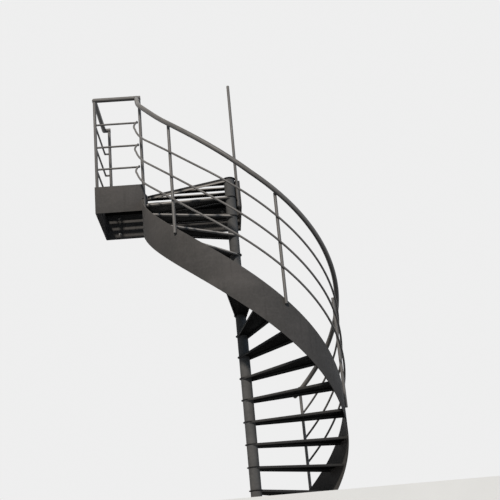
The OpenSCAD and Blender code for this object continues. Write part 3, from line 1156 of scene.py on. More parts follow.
@dataclass(frozen=True)
class PaintedSteel:
    """Brushed-on satin paint over steel, with dust, run-down streaks and rust at the joints, painted
    shade on faces that look down, and on steps a painted highlight along the nosing with painted
    shade below it.

    Attributes:
        name: name of the finish.
        paint: colour of the clean paint.
        faded: colour of its faded patches.
        cloud: patches for each metre.
        dust: share of pale dust on faces that look up.
        streaks: share of darker streaks that run down.
        rust: share of the rust specks, from 0 to 1.
        rough: roughness of clean and of faded paint.
        grain: height of the brush marks in the paint.
        gloss: specular level of the paint.
        under: brightness of the painted shade on faces that look down.
        smudge: share of pale hand marks, wider than they are high.
        nosing: share of the painted highlight, in the colour of bare, worn steel, along the upper
            edge of each step's front.
        nosing_drop: how far below that edge the painted highlight lies.
        hub: brightness of the paint on the sleeves round the column.
    """

    name: str
    paint: Colour
    faded: Colour
    cloud: float = 3.0
    dust: float = 0.35
    streaks: float = 0.4
    rust: float = 0.3
    rough: tuple[float, float] = (0.38, 0.6)
    grain: float = 0.0003
    gloss: float = 0.25
    under: float = 0.35
    smudge: float = 0.0
    nosing: float = 0.0
    nosing_drop: float = 0.0
    hub: float = 1.0

    def step_masks(self, graph: PaintGraph) -> tuple[Socket, Socket, Socket]:
        """Masks that follow the steps, for painted light on their fronts and for the hub sleeves.

        Args:
            graph: the material's tree.

        Returns:
            The masks of the painted highlight along the front edges, of the painted shade on the
            fronts and of the hub sleeves.
        """
        s = SIZES
        edge = LEAD + self.nosing_drop

        def down(span: tuple[float, float], start: float = edge) -> tuple[float, float]:
            """A span's two ends, counted from a starting value."""
            return start + span[0], start + span[1]

        x, y, z = graph.axes(graph.coords)
        face_x, face_y, face_z = graph.axes(graph.normal)
        steps = graph.over(graph.minus(LEAD, z), s.riser)
        deep = graph.times(graph.math("FRACT", steps), s.riser)
        reach = graph.vector("LENGTH", graph.vector("MULTIPLY", graph.coords, (1.0, 1.0, 0.0)))
        ahead = graph.minus(graph.times(x, face_y), graph.times(y, face_x))
        ahead = graph.ramp(graph.over(ahead, reach), *FACES_AHEAD)
        side = graph.below(face_z, *FACES_FLAT)
        # Painted highlight in a narrow band just below the upper edge of each step's front
        painted_highlight = graph.times(graph.ramp(deep, *down(STRIP_STARTS)),
                            graph.below(deep, *down(STRIP_ENDS)), side, ahead)
        # Painted shade on the step's front below the highlight, and with a drop also above it
        painted_lip_shade = graph.ramp(deep, *down(LIP_SHADE_STARTS))
        if self.nosing_drop > 0:
            painted_lip_shade = graph.math("MAXIMUM", painted_lip_shade, graph.below(deep, *down(STRIP_STARTS)))
        sleeve = graph.below(reach, *down(SLEEVE_ENDS, s.hub / 2))
        painted_lip_shade = graph.times(painted_lip_shade, side, graph.inverse(sleeve))
        return graph.times(painted_highlight, self.nosing), painted_lip_shade, sleeve

    def material(self) -> bpy.types.Material:
        """Builds the material.

        Returns:
            The finished material.
        """
        graph = PaintGraph(self.name)
        times, mix = graph.times, graph.mix
        patches = graph.share(replace(PATCHES, scale=self.cloud))
        mottle = graph.noise(MOTTLE)
        runs = times(graph.share(RUNS), self.streaks)
        up = graph.axes(graph.normal)[2]
        settled = graph.math("MULTIPLY_ADD", graph.share(SETTLING), 1.0 - LEAST_DUST, LEAST_DUST)
        dust = times(graph.ramp(up, *FACES_UP), settled, self.dust)
        clusters = [limit - RUST_SPREAD * self.rust for limit in CLUSTERS.span]
        rust = times(graph.share(SPECKS), graph.ramp(graph.noise(CLUSTERS), *clusters))
        # Darker paint for the runs, which also serves as the painted shade on the steps' fronts
        dark = shade(self.paint, RUNS_AND_LIP_SHADE)
        colour = mix(patches, shade(self.paint), shade(self.faded))
        colour = mix(runs, colour, dark)
        worn = times(graph.ramp(mottle, *MOTTLE.span), WORN_SHARE)
        colour = mix(worn, colour, shade(self.faded, WORN_SHADE))
        colour = mix(dust, colour, DUST)
        if self.smudge > 0:
            marks = times(graph.share(MARKS), self.smudge)
            colour = mix(marks, colour, shade(self.faded, MARK_SHADE))
        if self.nosing > 0:
            # On the steps: painted shade on the fronts, then a painted highlight along the nosing
            painted_highlight, painted_lip_shade, sleeve = self.step_masks(graph)
            colour = mix(times(painted_lip_shade, LIP_SHADE_SHARE), colour, dark)
            colour = mix(painted_highlight, colour, WORN_STEEL_HIGHLIGHT)
            colour = mix(sleeve, colour, graph.vector("MULTIPLY", colour, (self.hub,) * 3))
        # Painted shade: faces that look down take the paint darkened by under
        unshaded = graph.ramp(up, *OFF_UNDERSIDE)
        colour = mix(unshaded, shade(self.paint, self.under), colour)
        colour = mix(rust, colour, RUST)
        rough = graph.math("MULTIPLY_ADD", patches, self.rough[1] - self.rough[0], self.rough[0])
        rough = graph.plus(rough, times(mottle, MOTTLE_ROUGHNESS))
        dirt = times(graph.math("MAXIMUM", rust, dust), DIRT_ROUGHNESS)
        rough = graph.math("MAXIMUM", rough, dirt)
        relief = graph.plus(graph.noise(BRUSHING), times(mottle, MOTTLE_HEIGHT),
                            times(rust, RUST_HEIGHT))
        bump = graph.add("ShaderNodeBump", {
            "Strength": 0.6, "Distance": self.grain, "Height": relief}).outputs[0]
        shader = graph.add("ShaderNodeBsdfPrincipled", {
            "Base Color": colour, "Roughness": rough, "Normal": bump, "IOR": 1.5,
            "Specular IOR Level": self.gloss})
        graph.add("ShaderNodeOutputMaterial", {0: shader.outputs[0]})
        return graph.material


# Each finish paints shade on faces that look down, at its under brightness
FACE_PAINT = PaintedSteel("graphite_face", (0.068, 0.064, 0.061), (0.090, 0.083, 0.079),
                          cloud=2.4, streaks=0.3, rust=0.25, rough=(0.58, 0.75), gloss=0.06,
                          smudge=0.16)
TREAD_PAINT = PaintedSteel("graphite_tread", (0.046, 0.045, 0.044), (0.062, 0.060, 0.058),
                           cloud=4.0, dust=0.36, streaks=0.2, rust=0.5, rough=(0.55, 0.75),
                           gloss=0.05, under=0.07, nosing=0.9, hub=2.1)
# On the edge bar the painted highlight lies 27 mm lower, with painted shade above and below it
EDGE_PAINT = replace(TREAD_PAINT, name="graphite_edge", nosing_drop=0.027)
TUBE_PAINT = PaintedSteel("graphite_tube", (0.105, 0.098, 0.093), (0.140, 0.130, 0.121),
                          cloud=5.0, dust=0.3, streaks=0.15, rust=0.3, rough=(0.32, 0.5),
                          gloss=0.35)
COLUMN_PAINT = PaintedSteel("graphite_column", (0.090, 0.086, 0.083), (0.130, 0.123, 0.118),
                            cloud=4.0, streaks=0.4, rust=0.9, rough=(0.5, 0.65), gloss=0.15)
BEAD_PAINT = PaintedSteel("painted_welds", (0.074, 0.071, 0.067), (0.105, 0.098, 0.092),
                          cloud=14.0, dust=0.25, streaks=0.0, rust=1.0, rough=(0.45, 0.6),
                          gloss=0.2)
BOLT_PAINT = PaintedSteel("bolt_zinc", (0.21, 0.20, 0.19), (0.28, 0.27, 0.25),
                          cloud=30.0, dust=0.3, streaks=0.0, rust=1.0, rough=(0.35, 0.55),
                          gloss=0.5, under=0.8)


# Sub-assemblies


@dataclass
class Workshop:
    """The node trees and finishes that the sub-assemblies share.

    Attributes:
        bars: tree of the straight bars.
        rails: tree of the climbing bars.
        beads: tree of the welds.
        tears: tree of the treads' raised tears.
        bolts: tree of the bolts.
        face: finish of the stringer and the side plates.
        tread: finish of the treads and the floor.
        tube: finish of the bars and posts.
        column: finish of the column.
        weld: finish of the welds.
        bolt: finish of the bolts.
        ripple: pitch of the ripples in a weld.
        bar_sides: number of sides of a straight bar.
        thread: thread diameter of the bolts.
    """

    bars: GeometryTree
    rails: GeometryTree
    beads: GeometryTree
    tears: GeometryTree
    bolts: GeometryTree
    face: bpy.types.Material
    tread: bpy.types.Material
    tube: bpy.types.Material
    column: bpy.types.Material
    weld: bpy.types.Material
    bolt: bpy.types.Material
    ripple: float = 0.0042
    bar_sides: int = 40
    thread: float = 0.012

    @classmethod
    def open(cls) -> "Workshop":
        """Builds every tree and finish once.

        Returns:
            The workshop.
        """
        return cls(
            bars=bar_tree(), rails=climbing_rail_tree(), beads=bead_tree(), tears=tear_tree(),
            bolts=bolt_tree(), face=FACE_PAINT.material(), tread=TREAD_PAINT.material(),
            tube=TUBE_PAINT.material(), column=COLUMN_PAINT.material(),
            weld=BEAD_PAINT.material(), bolt=BOLT_PAINT.material())

    def lay_beads(self, name: str, book: PathBook, seed: int) -> None:
        """Makes one piece of weld lines.

        Args:
            name: the piece's name.
            book: its lines.
            seed: seed of the ripples' widths.
        """
        mesh = self.beads.grow(book.mesh(f"{name}_lines"), Pitch=self.ripple, Seed=seed,
                               Finish=self.weld)
        place(name, mesh, self.weld, Slot.FACE)

    def round_bars(self, name: str, book: PathBook, node: str) -> None:
        """Makes one piece of round bars.

        Args:
            name: the piece's name.
            book: the bars' centre lines.
            node: the CAD node that they stand for.
        """
        mesh = self.bars.grow(book.mesh(f"{name}_lines"), Sides=self.bar_sides,
                              Finish=self.tube)
        smooth(mesh)
        place(name, mesh, self.tube, Slot.TUBE, node)

    def set_bolts(self, name: str, spots: Iterable[Vector], tip: float, seed: int,
                  slot: Slot) -> None:
        """Makes one piece of bolts.

        Args:
            name: the piece's name.
            spots: where the washers lie.
            tip: degrees by which the bolts are tipped about the x axis.
            seed: seed of the nuts' own turns.
            slot: their slot, which is handed on to place.
        """
        book = PathBook(())
        for spot in spots:
            book.add([spot])
        mesh = self.bolts.grow(book.mesh(f"{name}_spots"), Thread=self.thread, Seed=seed,
                               Turn=(math.radians(tip), 0.0, 0.0), Finish=self.bolt)
        smooth(mesh, 25.0)
        place(name, mesh, self.bolt, slot)


def level(at: Spot, z: float = 0.0) -> Vector:
    """A plan position at a height."""
    return Vector((*at, z))


def circle(centre: Vector, radius: float, normal: Vector, count: int = 28) -> Path:
    """Points of a circle.

    Args:
        centre: its centre.
        radius: its radius.
        normal: direction in which it faces.
        count: number of points.

    Returns:
        The closed line's points.
    """
    turn = UP.rotation_difference(normal.normalized())
    return [centre + turn @ polar(radius, 360 * i / count, 0.0) for i in range(count)]


def sleeve_ring(z: float, gap: float = WELD_GAP, count: int = 28) -> Path:
    """Level circle close round a hub sleeve."""
    return circle(Vector((0, 0, z)), SIZES.hub / 2 + gap, UP, count)


def saddle(centre: Vector, bar: Vector, bar_radius: float, branch: Vector,
           branch_radius: float, count: int = 32) -> Path:
    """Line where a round branch meets a round bar.

    Args:
        centre: point of the bar's centre line that the branch's centre line meets.
        bar: direction of the bar.
        bar_radius: radius of the bar.
        branch: direction in which the branch leaves the bar.
        branch_radius: radius of the branch.
        count: number of points.

    Returns:
        The closed line's points.
    """
    flattest = 0.35
    bar, branch = bar.normalized(), branch.normalized()
    side = bar.cross(branch).normalized()
    along = branch.cross(side).normalized()
    lean = branch.dot(bar)
    path = []
    for i in range(count):
        turn = 2 * math.pi * i / count
        a, b = branch_radius * math.cos(turn), branch_radius * math.sin(turn)
        out = math.sqrt(max(0.0, bar_radius ** 2 - a ** 2))
        out = (out - b * lean) / max(flattest, math.sqrt(1 - lean ** 2))
        path.append(centre + side * a + along * b + branch * out)
    return path


@dataclass
class Assembly:
    """A sub-assembly that is made in the shared workshop.

    Attributes:
        shop: the workshop.
        bead: half width of the sub-assembly's welds.
    """

    shop: Workshop
    bead: float = 0.0026

    @property
    def fine_bead(self) -> float:
        """Half width of the finer welds."""
        return self.bead * 0.8

    def soft_plate(self, name: str, node: str, slot: Slot, wide: float = 0.001) -> None:
        """Makes a piece out of a CAD node with rounded edges.

        Args:
            name: the piece's name.
            node: the CAD node.
            slot: the slot, which also tells the finish.
            wide: width of the rounding.
        """
        finish = {Slot.FACE: self.shop.face, Slot.TREAD: self.shop.tread,
                  Slot.COLUMN: self.shop.column}[slot]
        place(name, softened(node, wide), finish, slot, node)

    def build(self) -> None:
        """Makes the sub-assembly's pieces."""
        raise NotImplementedError


@dataclass
class Column(Assembly):
    """The base plate, the inner pole, the cap and the anchors."""

    def build(self) -> None:
        """Makes the column's pieces."""
        s = SIZES
        self.soft_plate("base_flange", "base_plate", Slot.COLUMN, 0.0016)
        self.soft_plate("cap_disc", "column_cap", Slot.COLUMN, 0.0012)
        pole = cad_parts["center_pole"]
        pole.material_slots[0].material = self.shop.column
        spots = [polar(s.anchor_circle / 2, 45 + 90 * i, s.base_plate) for i in range(4)]
        self.shop.set_bolts("anchor_nuts", spots, 0.0, 5, Slot.COLUMN)


@dataclass
class Flight(Assembly):
    """The treads with their raised tears, the stringer and their welds.

    Attributes:
        fold: width of the rounding on the treads' folds.
        tear: half length, half width and height of a tear.
        tear_pitch: pitch of the tears' lattice.
        tear_margin: bare edge at a tread's front and back.
        tear_inner: radius within which no tear lies.
        rounding: radius of the stringer's edges.
        base_bead: half width of the weld at the column's foot.
    """

    fold: float = 0.004
    tear: tuple[float, float, float] = (0.0105, 0.0034, 0.0014)
    tear_pitch: float = 0.026
    tear_margin: float = 0.016
    tear_inner: float = 0.074
    rounding: float = 0.0014
    base_bead: float = 0.0036

    def build(self) -> None:
        """Makes the flight's pieces."""
        for number in range(1, SIZES.risers):
            self.tread(number)
        self.tread_pattern()
        self.stringer_plate()
        self.shop.lay_beads("flight_welds", self.weld_lines(), 11)

    def tread(self, number: int) -> None:
        """Makes one tread with rounded folds.

        Args:
            number: the tread's number from the ground.
        """
        s = SIZES
        level_to, straight_to = 1e-4, 2e-4
        top = number * s.riser
        nosing = math.radians(s.nosing(number))
        lean = math.acos(s.lip_offset / s.stringer_inner)
        sweep = math.radians(s.step + s.overlap)
        normals = [(math.cos(turn), math.sin(turn))
                   for turn in (nosing + lean, nosing - sweep - lean)]

        def fold_width(edge: bmesh.types.BMEdge) -> float:
            """Width of the rounding on a fold.

            Args:
                edge: an edge of the tread.

            Returns:
                The width, or 0 for an edge that is no fold.
            """
            ends = [v.co for v in edge.verts]
            if any(abs(p.z - top) > level_to for p in ends):
                return 0.0
            for nx, ny in normals:
                if all(abs(nx * p.x + ny * p.y - s.lip_offset) < straight_to for p in ends):
                    return self.fold
            return 0.0

        node = f"tread_{number:02d}"
        place(f"folded_{node}", softened(node, 0.0009, fold_width), self.shop.tread, Slot.TREAD,
              node)

    def tread_pattern(self) -> None:
        """Makes the raised tears on all treads."""
        s = SIZES
        long, wide, high = self.tear
        mesh = self.shop.tears.grow(
            bpy.data.meshes.new("tear_base"), Pitch=self.tear_pitch, Long=long, Wide=wide,
            High=high, Margin=self.tear_margin, Offset=s.lip_offset, Outer=s.stringer_inner,
            Inner=self.tear_inner, Sweep=s.step + s.overlap, Step=s.step, Riser=s.riser,
            First_Angle=s.nosing(1), Steps=s.risers - 1, Finish=self.shop.tread)
        place("tread_tears", mesh, self.shop.tread, Slot.TREAD)

    def stringer_section(self, angle: float) -> Path:
        """Section of the stringer with rounded corners.

        Args:
            angle: angle round the column.

        Returns:
            The section's points.
        """
        s, lip = SIZES, self.rounding
        top = min(s.floor, s.line(angle) + s.stringer_up)
        foot = max(0.0, s.line(angle) - s.stringer_down)
        ring = []
        for reach, z, turn in ((s.stringer, foot, 270), (s.stringer, top, 0),
                               (s.stringer_inner, top, 90), (s.stringer_inner, foot, 180)):
            middle = reach + (-lip if reach == s.stringer else lip)
            height = z + (-lip if z == top else lip)
            for bend in (math.radians(turn + 30 * k) for k in range(4)):
                ring.append(polar(middle + lip * math.cos(bend), angle,
                                  height + lip * math.sin(bend)))
        return ring

    def stringer_plate(self) -> None:
        """Makes the curved plate as one smooth sheet with rounded edges."""
        s = SIZES
        start, end = s.top_angle, s.foot_angle
        kinks = [start + s.stringer_up / s.slope,
                 start + (s.floor - s.stringer_down) / s.slope]
        angles = sorted({start + i for i in range(int(end - start) + 1)} | {end, *kinks})
        rings = [self.stringer_section(angle) for angle in angles]
        place("stringer_ribbon", skin("stringer_ribbon", rings), self.shop.face, Slot.FACE,
              "stringer_lower", "stringer_upper")

    def weld_lines(self) -> PathBook:
        """Weld lines of the treads on the stringer and the hub sleeves.

        Returns:
            The lines with their half widths.
        """
        s = SIZES
        book = PathBook(("bead",))
        inside = s.stringer_inner - WELD_GAP
        first_seam, seam_gap, half_seam, seam_step, lip_shift = 0.18, 0.32, 2.2, 0.55, 0.08
        for number in range(1, s.risers):
            top, nosing = number * s.riser, s.nosing(number)
            under = top - s.tread_plate - WELD_GAP
            for part in range(3):
                middle = nosing - s.step * (first_seam + seam_gap * part)
                arc = [middle - half_seam + seam_step * i for i in range(9)]
                book.add([polar(inside, a, under) for a in arc], self.bead)
            book.add([polar(inside, nosing + lip_shift, top - z)
                      for z in (s.front_lip - 0.002, s.front_lip / 2, 0.004)], self.bead)
            book.add(sleeve_ring(under), self.bead, loop=True)
            if number > 1:
                book.add(sleeve_ring(top + WELD_GAP), self.fine_bead, loop=True)
        book.add(sleeve_ring(s.base_plate + 0.001, 0.001, 36), self.base_bead, loop=True)
        return book


@dataclass
class Railing(Assembly):
    """The balusters, the handrail and the mid rails of the flight, with their welds.

    Attributes:
        balusters: number of the balusters.
        lip: radius of the tubes' edges.
        lap_shift: angle from a baluster's middle to the welds beside it.
        lap_weld: length of those welds.
        lap_out: distance of those welds from the stringer's face.
        handrail_ring: radius of the ring weld between baluster and handrail.
        rail_ring: radius of the ring weld between baluster and mid rail.
    """

    balusters: int = 4
    lip: float = 0.0006
    lap_shift: float = 0.42
    lap_weld: float = 0.0495
    lap_out: float = 0.0012
    handrail_ring: float = 0.011
    rail_ring: float = 0.0075

    def build(self) -> None:
        """Makes the railing's pieces."""
        for index in range(self.balusters):
            self.baluster(index)
        self.rail("handrail_bar", handrail_rule(), SIZES.handrail, "handrail", 40)
        for index, name in enumerate(RAIL_NAMES):
            self.rail(f"mid_bar_{name}", mid_rail_rule(index), SIZES.rail, f"mid_rail_{name}", 28)
        self.shop.lay_beads("railing_welds", self.weld_lines(), 17)

    def foot(self, index: int) -> tuple[float, float]:
        """Where a baluster stands.

        Args:
            index: the baluster's number from the landing.

        Returns:
            Its angle and the height of its lower end.
        """
        s = SIZES
        angle = s.baluster_angle(index)
        return angle, max(0.0, s.line(angle) + s.stringer_up - s.baluster_lap)

    def baluster(self, index: int) -> None:
        """Makes one open tube with rounded lips.

        Args:
            index: the baluster's number from the landing.
        """
        s = SIZES
        angle, low = self.foot(index)
        sides, into_handrail = 48, 0.004
        high = handrail_rule().point(angle).z + into_handrail
        outer, inner, lip = s.baluster / 2, s.baluster / 2 - s.baluster_wall, self.lip
        profile = [(outer - lip, low), (outer, low + lip), (outer, high - lip),
                   (outer - lip, high), (inner + lip, high), (inner, high - lip),
                   (inner, low + lip), (inner + lip, low)]
        foot = polar(s.baluster_reach, angle, 0.0)
        rings = [[foot + polar(r, 360 * k / sides, z) for r, z in profile] for k in range(sides)]
        node = f"baluster_{index + 1}"
        place(f"open_tube_{index + 1}", skin(node, rings, closed=True), self.shop.tube,
              Slot.TUBE, node)

    def rail(self, name: str, rule: RailRule, thick: float, node: str, sides: int) -> None:
        """Makes one climbing rail.

        Args:
            name: the piece's name.
            rule: its rule.
            thick: diameter of the bar.
            node: the CAD node that it stands for.
            sides: number of the bar's sides.
        """
        s = SIZES
        past_middle = 0.002
        root = (-rule.end_reach, s.guard_y + past_middle, rule.top)
        mesh = self.shop.rails.grow(
            bpy.data.meshes.new("rail_base"), Reach=rule.reach, Height=rule.height, Top=rule.top,
            End_Reach=rule.end_reach, Start=rule.start, Climb=rule.climb, Power=rule.power,
            Curl=rule.curl, End=rule.end, Lean=rule.lean, Blend=rule.blend, Bulge=rule.bulge,
            Hump=rule.hump, Hump_Span=rule.hump_span, Floor=s.floor, Slope=s.slope,
            Top_Angle=s.top_angle, Thick=thick / 2, Root=root, Count=420, Sides=sides,
            Finish=self.shop.tube)
        smooth(mesh)
        place(name, mesh, self.shop.tube, Slot.TUBE, node)

    def weld_lines(self) -> PathBook:
        """Weld lines of the balusters on the stringer and under the rails.

        Returns:
            The lines with their half widths.
        """
        s = SIZES
        book = PathBook(("bead",))
        rules = [(handrail_rule(), self.handrail_ring)]
        rules += [(mid_rail_rule(i), self.rail_ring) for i in range(len(RAIL_NAMES))]
        for index in range(self.balusters):
            angle, low = self.foot(index)
            for side in (-self.lap_shift, self.lap_shift):
                book.add([polar(s.stringer + self.lap_out, angle + side,
                                low + self.lap_weld * t / 6) for t in range(7)], self.bead)
            for rule, wide in rules:
                if angle > rule.end:
                    continue
                at = rule.point(angle)
                flat = polar(s.baluster_reach + s.baluster / 2 - CORNER_GAP, angle, at.z)
                book.add(circle(flat, wide, polar(1.0, angle, 0.0), 20), self.fine_bead,
                         loop=True)
        return book


@dataclass
class Landing(Assembly):
    """The side plates, the edge bar, the floor planks and the wall bolts.

    Attributes:
        tab_angle: angle at which the front plate's tab crosses over the stringer.
        tab_gap: gap between the tab and the stringer's upper edge.
        edge: width of the rounding on the plates' edges.
    """

    tab_angle: float = 181.7
    tab_gap: float = 0.003
    edge: float = 0.0012

    def build(self) -> None:
        """Makes the landing's pieces."""
        s = SIZES
        self.front_plate()
        for side in ("left", "right", "wall"):
            self.soft_plate(f"{side}_side_plate", f"landing_{side}_plate", Slot.FACE, self.edge)
        place("well_edge_bar", softened("landing_edge"), EDGE_PAINT.material(), Slot.TREAD,
              "landing_edge")
        self.soft_plate("floor_planks", "landing_planks", Slot.TREAD, 0.0014)
        middle = Vector(((s.landing_right - s.landing_left) / 2, s.wall - s.side_sheet,
                         s.floor - s.side_plate / 2))
        spots = [middle + Vector((i * s.bolt_gap / 2, 0, j * s.bolt_rise / 2))
                 for i in (-1, 1) for j in (-1, 1)]
        self.shop.set_bolts("wall_bolt_heads", spots, 90.0, 8, Slot.FACE)
        self.shop.lay_beads("landing_welds", self.weld_lines(), 23)

    def front_plate(self) -> None:
        """Makes the front plate, whose top reaches past the stringer to the corner post."""
        s = SIZES
        low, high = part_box("landing_front_plate")
        tab = s.line(self.tab_angle) + s.stringer_up + self.tab_gap
        outline = [(low[0], low[2]), (high[0], low[2]), (high[0], tab),
                   (s.inner_corner[0], tab), (s.inner_corner[0], high[2]), (low[0], high[2])]
        rings = [[Vector((x, y, z)) for x, z in outline] for y in (low[1], high[1])]
        mesh = bevelled(skin("front_plate", rings), self.edge, "ANGLE")
        place("front_side_plate", mesh, self.shop.face, Slot.FACE, "landing_front_plate")

    def weld_lines(self) -> PathBook:
        """Weld lines of the plates, the planks and the topmost hub sleeve.

        Returns:
            The lines with their half widths.
        """
        s, steps = SIZES, 8
        book = PathBook(("bead",))
        low, high = s.floor - s.side_plate + 0.002, s.floor - 0.002

        def upright(x: float, y: float, top: float = high, wide: float = self.bead) -> None:
            """Adds a plumb weld line up from the plates' lower edge."""
            book.add([Vector((x, y, low + (top - low) * i / steps)) for i in range(steps + 1)],
                     wide)

        stringer_x = -math.sqrt(s.stringer ** 2 - s.landing_front ** 2) - 0.0004
        upright(stringer_x, -s.landing_front + WELD_GAP, s.floor - 0.004, self.fine_bead)
        sheet = s.side_sheet + CORNER_GAP
        front = -s.landing_front + s.side_sheet
        upright(s.left_edge(front) + sheet, front + CORNER_GAP)
        upright(s.left_edge(s.wall) + sheet, s.wall - sheet)
        upright(s.landing_right - sheet, s.wall - sheet)
        book.add(sleeve_ring(s.floor - s.tread_plate - WELD_GAP), self.bead, loop=True)
        book.add(sleeve_ring(s.floor - s.riser + WELD_GAP), self.fine_bead, loop=True)
        return book


@dataclass
class Guard(Assembly):
    """The landing's posts, its top rail and its mid rails, with their welds.

    Attributes:
        lip: radius of the posts' edges.
        lap_sink: how deep the lines of the welds beside a lapped post lie in the post.
    """

    lip: float = 0.0012
    lap_sink: float = 0.0012

    def build(self) -> None:
        """Makes the guard's pieces."""
        s = SIZES
        top = s.floor + s.guard - s.guard_rail / 2 + 0.002
        self.post("left_post_bar", s.guard_corner, s.floor - s.corner_post_foot, top, s.post,
                  "corner_post_left")
        self.post("right_post_bar", s.inner_corner, s.floor - s.post_foot, top, s.post,
                  "corner_post_right")
        self.post("wall_post_bar", s.wall_post, s.floor, top, s.post, "wall_post")
        self.post("newel_bar", s.newel_place, s.floor - s.side_plate, s.floor + s.newel,
                  s.baluster, "newel_post", domed=True)
        self.top_rail()
        for index, name in enumerate(RAIL_NAMES):
            self.mid_rail(index, name)
        self.shop.lay_beads("guard_welds", self.weld_lines(), 29)

    def post(self, name: str, at: Spot, low: float, high: float, thick: float, node: str,
             domed: bool = False) -> None:
        """Makes one plumb round post with rounded ends.

        Args:
            name: the piece's name.
            at: its plan position.
            low: height of its lower end.
            high: height of its upper end.
            thick: its diameter.
            node: the CAD node that it stands for.
            domed: True gives its upper end a low dome.
        """
        radius, lip, sides = thick / 2, self.lip, 48
        core, cut = 0.35 * radius, 0.3 * lip
        profile = [(core, low), (radius - lip, low), (radius - cut, low + cut), (radius, low + lip)]
        if domed:
            profile += [(radius * math.cos(t), high - radius * 0.5 * (1 - math.sin(t)))
                        for t in (0.0, 0.3, 0.6, 0.9, 1.2)]
        else:
            profile += [(radius, high - lip), (radius - lip, high)]
        foot = level(at)
        rings = [[foot + polar(r, 360 * k / sides, z) for k in range(sides)] for r, z in profile]
        place(name, skin(name, rings), self.shop.tube, Slot.TUBE, node)

    def bars(self, name: str, node: str, lines: Iterable[tuple[Vector, Vector]],
             corners: Iterable[Vector], thick: float) -> None:
        """Makes a piece of straight bars with balls in their bends.

        Args:
            name: the piece's name.
            node: the CAD node that it stands for.
            lines: the two ends of each bar.
            corners: centres of the balls.
            thick: diameter of the bars.
        """
        book = PathBook(("thick", "ball"))
        for line in lines:
            book.add(line, thick / 2, 0.0)
        for corner in corners:
            book.add([corner], thick / 2, 1.0)
        self.shop.round_bars(name, book, node)

    def top_rail(self) -> None:
        """Makes the top rail of straight bars with rounded mitres."""
        s = SIZES
        start = (s.inner_corner[0] + s.post / 2, s.guard_y)
        stop = (s.wall_post[0] + s.post / 2, s.wall_post[1])
        plan = [level(p, s.floor + s.guard) for p in (start, s.guard_corner, s.guard_turn, stop)]
        self.bars("top_rail_bar", "guard_top_rail", zip(plan, plan[1:]), plan[1:3], s.guard_rail)

    def mid_rail(self, index: int, name: str) -> None:
        """Makes one mid rail: the front bar and the side bar with its turn to the wall post.

        Args:
            index: its number from the top.
            name: its name by its height.
        """
        s = SIZES
        front, corner, turn, wall = (
            level(p, s.floor + s.guard_heights[index])
            for p in ((-s.rail_end, s.guard_y), s.guard_corner, s.guard_turn, s.wall_post))
        lines = ((front, corner), (corner, turn), (turn, wall))
        self.bars(f"guard_bar_{name}", f"guard_rail_{name}", lines, (front, turn), s.rail)

    def weld_lines(self) -> PathBook:
        """Weld lines at the posts, the bars' ends and the handrail's joint.

        Returns:
            The lines with their half widths.
        """
        s = SIZES
        book = PathBook(("bead",))
        corner, turn, wall, inner, newel = (level(p) for p in (
            s.guard_corner, s.guard_turn, s.wall_post, s.inner_corner, s.newel_place))
        right, ahead, side = Vector((1, 0, 0)), Vector((0, -1, 0)), (turn - corner).normalized()
        bar, rail, post = s.guard_rail / 2, s.rail / 2, s.post / 2
        for at in (corner, inner, wall):
            book.add(saddle(at + UP * (s.floor + s.guard), right, bar, -UP, post), self.bead,
                     loop=True)
        for height in s.guard_heights:
            lift = UP * (s.floor + height)
            for at, branch in ((corner, right), (corner, side), (wall, -right)):
                book.add(saddle(at + lift, UP, post, branch, rail), self.fine_bead, loop=True)
            joint = level((-s.rail_end, s.guard_y)) + lift
            book.add(saddle(joint, right, rail, ahead, rail), self.bead * 0.7, loop=True)
        joint = level((-s.handrail_end, s.guard_y), s.floor + s.guard)
        rule = handrail_rule()
        leave = rule.point(rule.start + 2.0) - rule.point(rule.start)
        book.add(saddle(joint, right, bar, leave, s.handrail / 2), self.bead, loop=True)
        back = newel + Vector((0, s.baluster / 2 - self.lap_sink, s.floor - s.side_plate))
        self.lap_welds(book, back, right * 0.0062, 0.26)
        out = inner.normalized()
        across = Vector((-out.y, out.x, 0))
        foot = inner + out * (post - self.lap_sink) + UP * (s.floor - s.post_foot)
        self.lap_welds(book, foot, across * 0.0065, 0.25)
        return book

    def lap_welds(self, book: PathBook, foot: Vector, shift: Vector, high: float) -> None:
        """Adds the two plumb welds beside a lapped post.

        Args:
            book: the book of weld lines.
            foot: lower end between the two.
            shift: way from there to one of them.
            high: their height.
        """
        steps = 9
        for start in (foot - shift, foot + shift):
            book.add([start + UP * (high * i / steps) for i in range(steps + 1)], self.bead)


# Stage


@dataclass(frozen=True)
class Lamp:
    """A distant lamp.

    Attributes:
        name: the lamp's name.
        path: direction in which its light travels.
        power: strength of the light.
        wide: angle of its disc in degrees.
        colour: colour of the light.
    """

    name: str
    path: tuple[float, float, float]
    power: float
    wide: float
    colour: Colour

    def build(self) -> None:
        """Hangs the lamp in the scene."""
        lamp = bpy.data.lights.new(self.name, "SUN")
        lamp.energy = self.power
        lamp.angle = math.radians(self.wide)
        lamp.color = self.colour
        holder = linked(self.name, lamp)
        holder.rotation_mode = "QUATERNION"
        holder.rotation_quaternion = Vector(self.path).to_track_quat("-Z", "Y")


